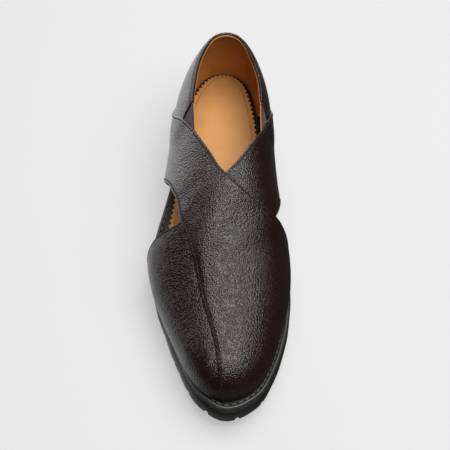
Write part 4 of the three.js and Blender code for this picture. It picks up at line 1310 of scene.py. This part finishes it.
class ChappalLook(bpy.types.PropertyGroup):
    """Colours and surfaces"""
    leather: colour_prop("Leather", "Colour of the pebbled upper", (0.0110, 0.0033, 0.0026, 1.0))
    tan: colour_prop("Insole", "Colour of the insole", (0.50, 0.24, 0.074, 1.0))
    lining: colour_prop("Lining", "Colour of the heel and strap linings", (0.50, 0.195, 0.033, 1.0))
    footbed: colour_prop("Footbed", "Colour of the covered board", (0.020, 0.010, 0.009, 1.0))
    elastic: colour_prop("Elastic", "Colour of the gores", (0.022, 0.009, 0.011, 1.0))
    rubber: colour_prop("Rubber", "Colour of outsole and heel", (0.010, 0.0105, 0.0105, 1.0))
    # Pale grey for the welt's rim and the midsole's edge: a painted highlight on dark edges.
    edge: colour_prop("Midsole edge", "Colour of the midsole's edge", (0.040, 0.038, 0.033, 1.0))
    thread: colour_prop("Thread", "Colour of the leather's stitches", (0.013, 0.006, 0.005, 1.0))
    # Paler than the black thread it stands for: a painted highlight for the welt stitches' light
    # strokes.
    cord: colour_prop("Welt thread", "Colour of the thread in the welt", (0.075, 0.070, 0.062, 1.0))
    floor: colour_prop("Floor", "Colour of the studio floor", (0.26, 0.26, 0.26, 1.0))
    glow: bpy.props.FloatProperty(name="Floor glow", description="Light that the pale floor gives "
                                  "off by itself", default=0.45, min=0.0, max=1.0)
    pebble_size: bpy.props.FloatProperty(name="Pebble size", description="Width of one pebble "
                                         "in millimetres", default=1.55, min=0.3, max=5.0)
    gloss: bpy.props.FloatProperty(name="Leather roughness", description="How dull the leather is",
                                   default=0.27, min=0.1, max=0.9, subtype="FACTOR")


class ChappalStitching(bpy.types.PropertyGroup):
    """Seams and pinking"""
    pitch: bpy.props.FloatProperty(name="Stitch pitch", description="From stitch to stitch, in "
                                   "millimetres", default=2.9, min=1.5, max=8.0)
    width: bpy.props.FloatProperty(name="Thread width", description="Thickness of the thread, in "
                                   "millimetres", default=0.78, min=0.2, max=1.5)
    tooth: bpy.props.FloatProperty(name="Pinking depth", description="How deep the insole's teeth "
                                   "are, in millimetres", default=1.9, min=0.5, max=4.0)


KIT = {}


def kit(context):
    """The materials of the shoe, made on first use."""
    look = context.scene.chappal_look
    if "pebble" not in KIT:
        KIT["pebble"], KIT["tone"] = pebble_group(), wear_group()
        KIT["leather"] = leather_material(KIT, look)
        KIT["lining"] = soft_leather("lining_tan", KIT, look.lining, 0.55, sheen=0.1)[0]
        KIT["insole"] = insole_material(KIT, look)
        KIT["footbed"] = soft_leather("footbed_dark", KIT, look.footbed, 0.5, 0.00012, 900.0)[0]
        KIT["elastic"] = elastic_material(look)
        KIT["rubber"] = rubber_material("lug_rubber", KIT, look.rubber, 0.5)
        # Midsole: the pale edge colour at 0.6, painted lighter than the rubber as a highlight band.
        KIT["edge"] = rubber_material("midsole_edge", KIT, shade(look.edge, 0.6), 0.45, 0.00004)
        KIT["welt"] = welt_material(KIT, look)
        # Near-black spindles between the stitches: painted shade standing for the needle holes.
        KIT["hole"] = rubber_material("needle_hole_shade", KIT, shade(look.rubber, 0.15), 0.9)
        KIT["thread"] = thread_material("upper_thread", look.thread)
        # Welt thread in the pale cord colour: a painted highlight on black thread.
        KIT["cord"] = thread_material("welt_thread", look.cord)
    return KIT


OVER_PANEL = Panel(OVER, OVER_CORNERS, (CROSSING, STRAP_SEAT), Fold(STRAP_FOLD))
UNDER_PANEL = Panel(UNDER, UNDER_CORNERS, (STRAP_SEAT_MEDIAL,))


class CHAPPAL_OT_upper(bpy.types.Operator):
    """Make both vamp panels, the counter and their linings"""
    bl_idname = "chappal.upper"
    bl_label = "Upper"

    def execute(self, context):
        k = kit(context)
        over = panel_skin(OVER_PANEL, "over_panel", k["leather"])
        panel_skin(UNDER_PANEL, "under_panel", k["leather"])
        counter_skin(k["leather"])
        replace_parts(over, "upper")
        panel_lining(OVER_PANEL, "over_lining", k["lining"])
        panel_lining(UNDER_PANEL, "under_lining", k["lining"])
        counter_lining(k["lining"])
        return {"FINISHED"}


class CHAPPAL_OT_gores(bpy.types.Operator):
    """Make the two elastic gores"""
    bl_idname = "chappal.gores"
    bl_label = "Elastic gores"

    def execute(self, context):
        k = kit(context)
        left = gore_skin("elastic_lateral", GORE_LATERAL, k["elastic"])
        right = gore_skin("elastic_medial", GORE_MEDIAL, k["elastic"])
        gore_lining("gore_lining_lateral", GORE_LATERAL, k["lining"])
        gore_lining("gore_lining_medial", GORE_MEDIAL, k["lining"])
        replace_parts(left, "gore_lateral")
        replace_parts(right, "gore_medial")
        return {"FINISHED"}


class CHAPPAL_OT_insole(bpy.types.Operator):
    """Make the pinked insole and the covered footbed under it"""
    bl_idname = "chappal.insole"
    bl_label = "Insole and footbed"

    def execute(self, context):
        k = kit(context)
        top = insole_skin(k["insole"], context.scene.chappal_stitching.tooth)
        board = footbed_skin(k["footbed"])
        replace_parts(top, "insole")
        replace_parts(board, "footbed")
        return {"FINISHED"}


class CHAPPAL_OT_stack(bpy.types.Operator):
    """Make the welt, the midsole, the outsole with its lugs and the heel"""
    bl_idname = "chappal.stack"
    bl_label = "Welt and sole"

    def execute(self, context):
        k = kit(context)
        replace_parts(welt_skin(k["welt"]), "welt")
        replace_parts(midsole_skin(k["edge"]), "midsole")
        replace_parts(outsole_skin(k["rubber"]), "outsole")
        tread_skin(k["rubber"])
        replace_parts(heel_skin(k["rubber"]), "heel")
        return {"FINISHED"}


class CHAPPAL_OT_stitches(bpy.types.Operator):
    """Sew the edges of the panels, the collar and the welt"""
    bl_idname = "chappal.stitches"
    bl_label = "Stitches"

    def execute(self, context):
        k = kit(context)
        sew = context.scene.chappal_stitching
        rows = [panel_row(OVER_PANEL, 0, 0.35, 15.6), panel_row(OVER_PANEL, 1, 7.3, 9.0),
                panel_row(OVER_PANEL, 1, 9.0, 13.0), panel_row(OVER_PANEL, 1, 14.0, 15.8),
                panel_row(UNDER_PANEL, 1, 7.2, 9.9), panel_row(UNDER_PANEL, 1, 12.1, 14.0),
                panel_row(UNDER_PANEL, 1, 15.0, 16.8), panel_row(UNDER_PANEL, 0, 11.1, 16.6),
                panel_row(OVER_PANEL, 1, 13.05, 13.95), panel_row(UNDER_PANEL, 1, 14.05, 14.95)]
        pitch, length = sew.pitch, sew.pitch * 0.74
        stitch_row("panel_stitches", rows, k["thread"], "upper_leather", pitch, length, sew.width)
        # Painted shade: near-black spindles between the stitches stand for the needle holes.
        stitch_row("needle_hole_shade", rows, k["hole"], "upper_leather", pitch, pitch * 0.32,
                   sew.width * 1.25, lift=0.06, start=0.5 + pitch / 2)
        stitch_row("collar_stitches", [collar_row(0.945)], k["thread"], "upper_leather", pitch,
                   length, sew.width * 0.9)
        plan = inset(sole_plan(900), WELT_INSET + WELT_SEAM_INSET)
        loop = np.concatenate([around_plan(plan), plan[:1, 0]])
        path = raised(loop, feather_at(loop[:, 1]) - WELT_TOP)
        normals = np.broadcast_to(np.array([0, 0, 1.0]), path.shape)
        # The welt thread's pale colour is a painted highlight.
        stitch_row("welt_stitches", [(path, normals)], k["cord"], "welt", *WELT_STITCH)
        return {"FINISHED"}


class CHAPPAL_OT_stage(bpy.types.Operator):
    """Set the floor, the lights and the camera"""
    bl_idname = "chappal.stage"
    bl_label = "Stage"

    def execute(self, context):
        scene = context.scene
        look = scene.chappal_look
        mesh = bpy.data.meshes.new("floor")
        r = FLOOR_REACH
        mesh.from_pydata([(-r, -r, 0), (r, -r, 0), (r, r, 0), (-r, r, 0)], [], [(0, 1, 2, 3)])
        floor = bpy.data.objects.new("floor", mesh)
        mesh.materials.append(floor_material(look))
        scene.collection.objects.link(floor)
        floor.visible_glossy = False
        for name, origin, aim, size, power, turn in LIGHTS:
            data = bpy.data.lights.new(name, "AREA")
            data.shape = "RECTANGLE"
            data.size, data.size_y, data.energy = size[0], size[1], power
            light = bpy.data.objects.new(name, data)
            light.location = origin
            way = Vector(aim) - Vector(origin)
            light.rotation_euler = way.to_track_quat("-Z", "Y").to_euler()
            light.rotation_euler.rotate_axis("Z", np.radians(turn))
            scene.collection.objects.link(light)
        world = bpy.data.worlds.new("studio")
        scene.world = world
        room_light(world)
        scene.view_settings.view_transform = "Standard"
        scene.view_settings.look = "None"
        az, el, roll = np.radians(CAMERA_TURN)
        back = np.array([np.sin(az) * np.cos(el), -np.cos(az) * np.cos(el), np.sin(el)])
        right = np.array([np.cos(az), np.sin(az), 0])
        up = np.cross(back, right)
        side = right * np.cos(roll) + up * np.sin(roll)
        over = -right * np.sin(roll) + up * np.cos(roll)
        target = (np.array(CAMERA_AIM) + SHIFT) * MM
        data = bpy.data.cameras.new("camera")
        data.sensor_width, data.lens = CAMERA_SENSOR, CAMERA_LENS
        data.clip_start, data.clip_end = 0.05, 50
        camera = bpy.data.objects.new("camera", data)
        matrix = Matrix(np.stack([side, over, back], 1).tolist()).to_4x4()
        matrix.translation = Vector(target + back * CAMERA_DISTANCE)
        camera.matrix_world = matrix
        scene.collection.objects.link(camera)
        scene.camera = camera
        return {"FINISHED"}


class CHAPPAL_PT_panel(bpy.types.Panel):
    """Steps and settings of the shoe"""
    bl_label = "Peshawari chappal"
    bl_idname = "CHAPPAL_PT_panel"
    bl_space_type = "VIEW_3D"
    bl_region_type = "UI"
    bl_category = "Chappal"

    def draw(self, context):
        layout = self.layout
        for step in STEPS:
            layout.operator(step.bl_idname)
        for group in (context.scene.chappal_look, context.scene.chappal_stitching):
            for name in group.__annotations__:
                layout.prop(group, name)


STEPS = (CHAPPAL_OT_upper, CHAPPAL_OT_gores, CHAPPAL_OT_insole, CHAPPAL_OT_stack,
         CHAPPAL_OT_stitches, CHAPPAL_OT_stage)
CLASSES = (ChappalLook, ChappalStitching, *STEPS, CHAPPAL_PT_panel)


def register():
    for cls in CLASSES:
        bpy.utils.register_class(cls)
    bpy.types.Scene.chappal_look = bpy.props.PointerProperty(type=ChappalLook)
    bpy.types.Scene.chappal_stitching = bpy.props.PointerProperty(type=ChappalStitching)


def unregister():
    del bpy.types.Scene.chappal_stitching
    del bpy.types.Scene.chappal_look
    for cls in reversed(CLASSES):
        bpy.utils.unregister_class(cls)


def main():
    register()
    bpy.ops.chappal.upper()
    bpy.ops.chappal.gores()
    bpy.ops.chappal.insole()
    bpy.ops.chappal.stack()
    bpy.ops.chappal.stitches()
    bpy.ops.chappal.stage()


if __name__ == "__main__":
    main()
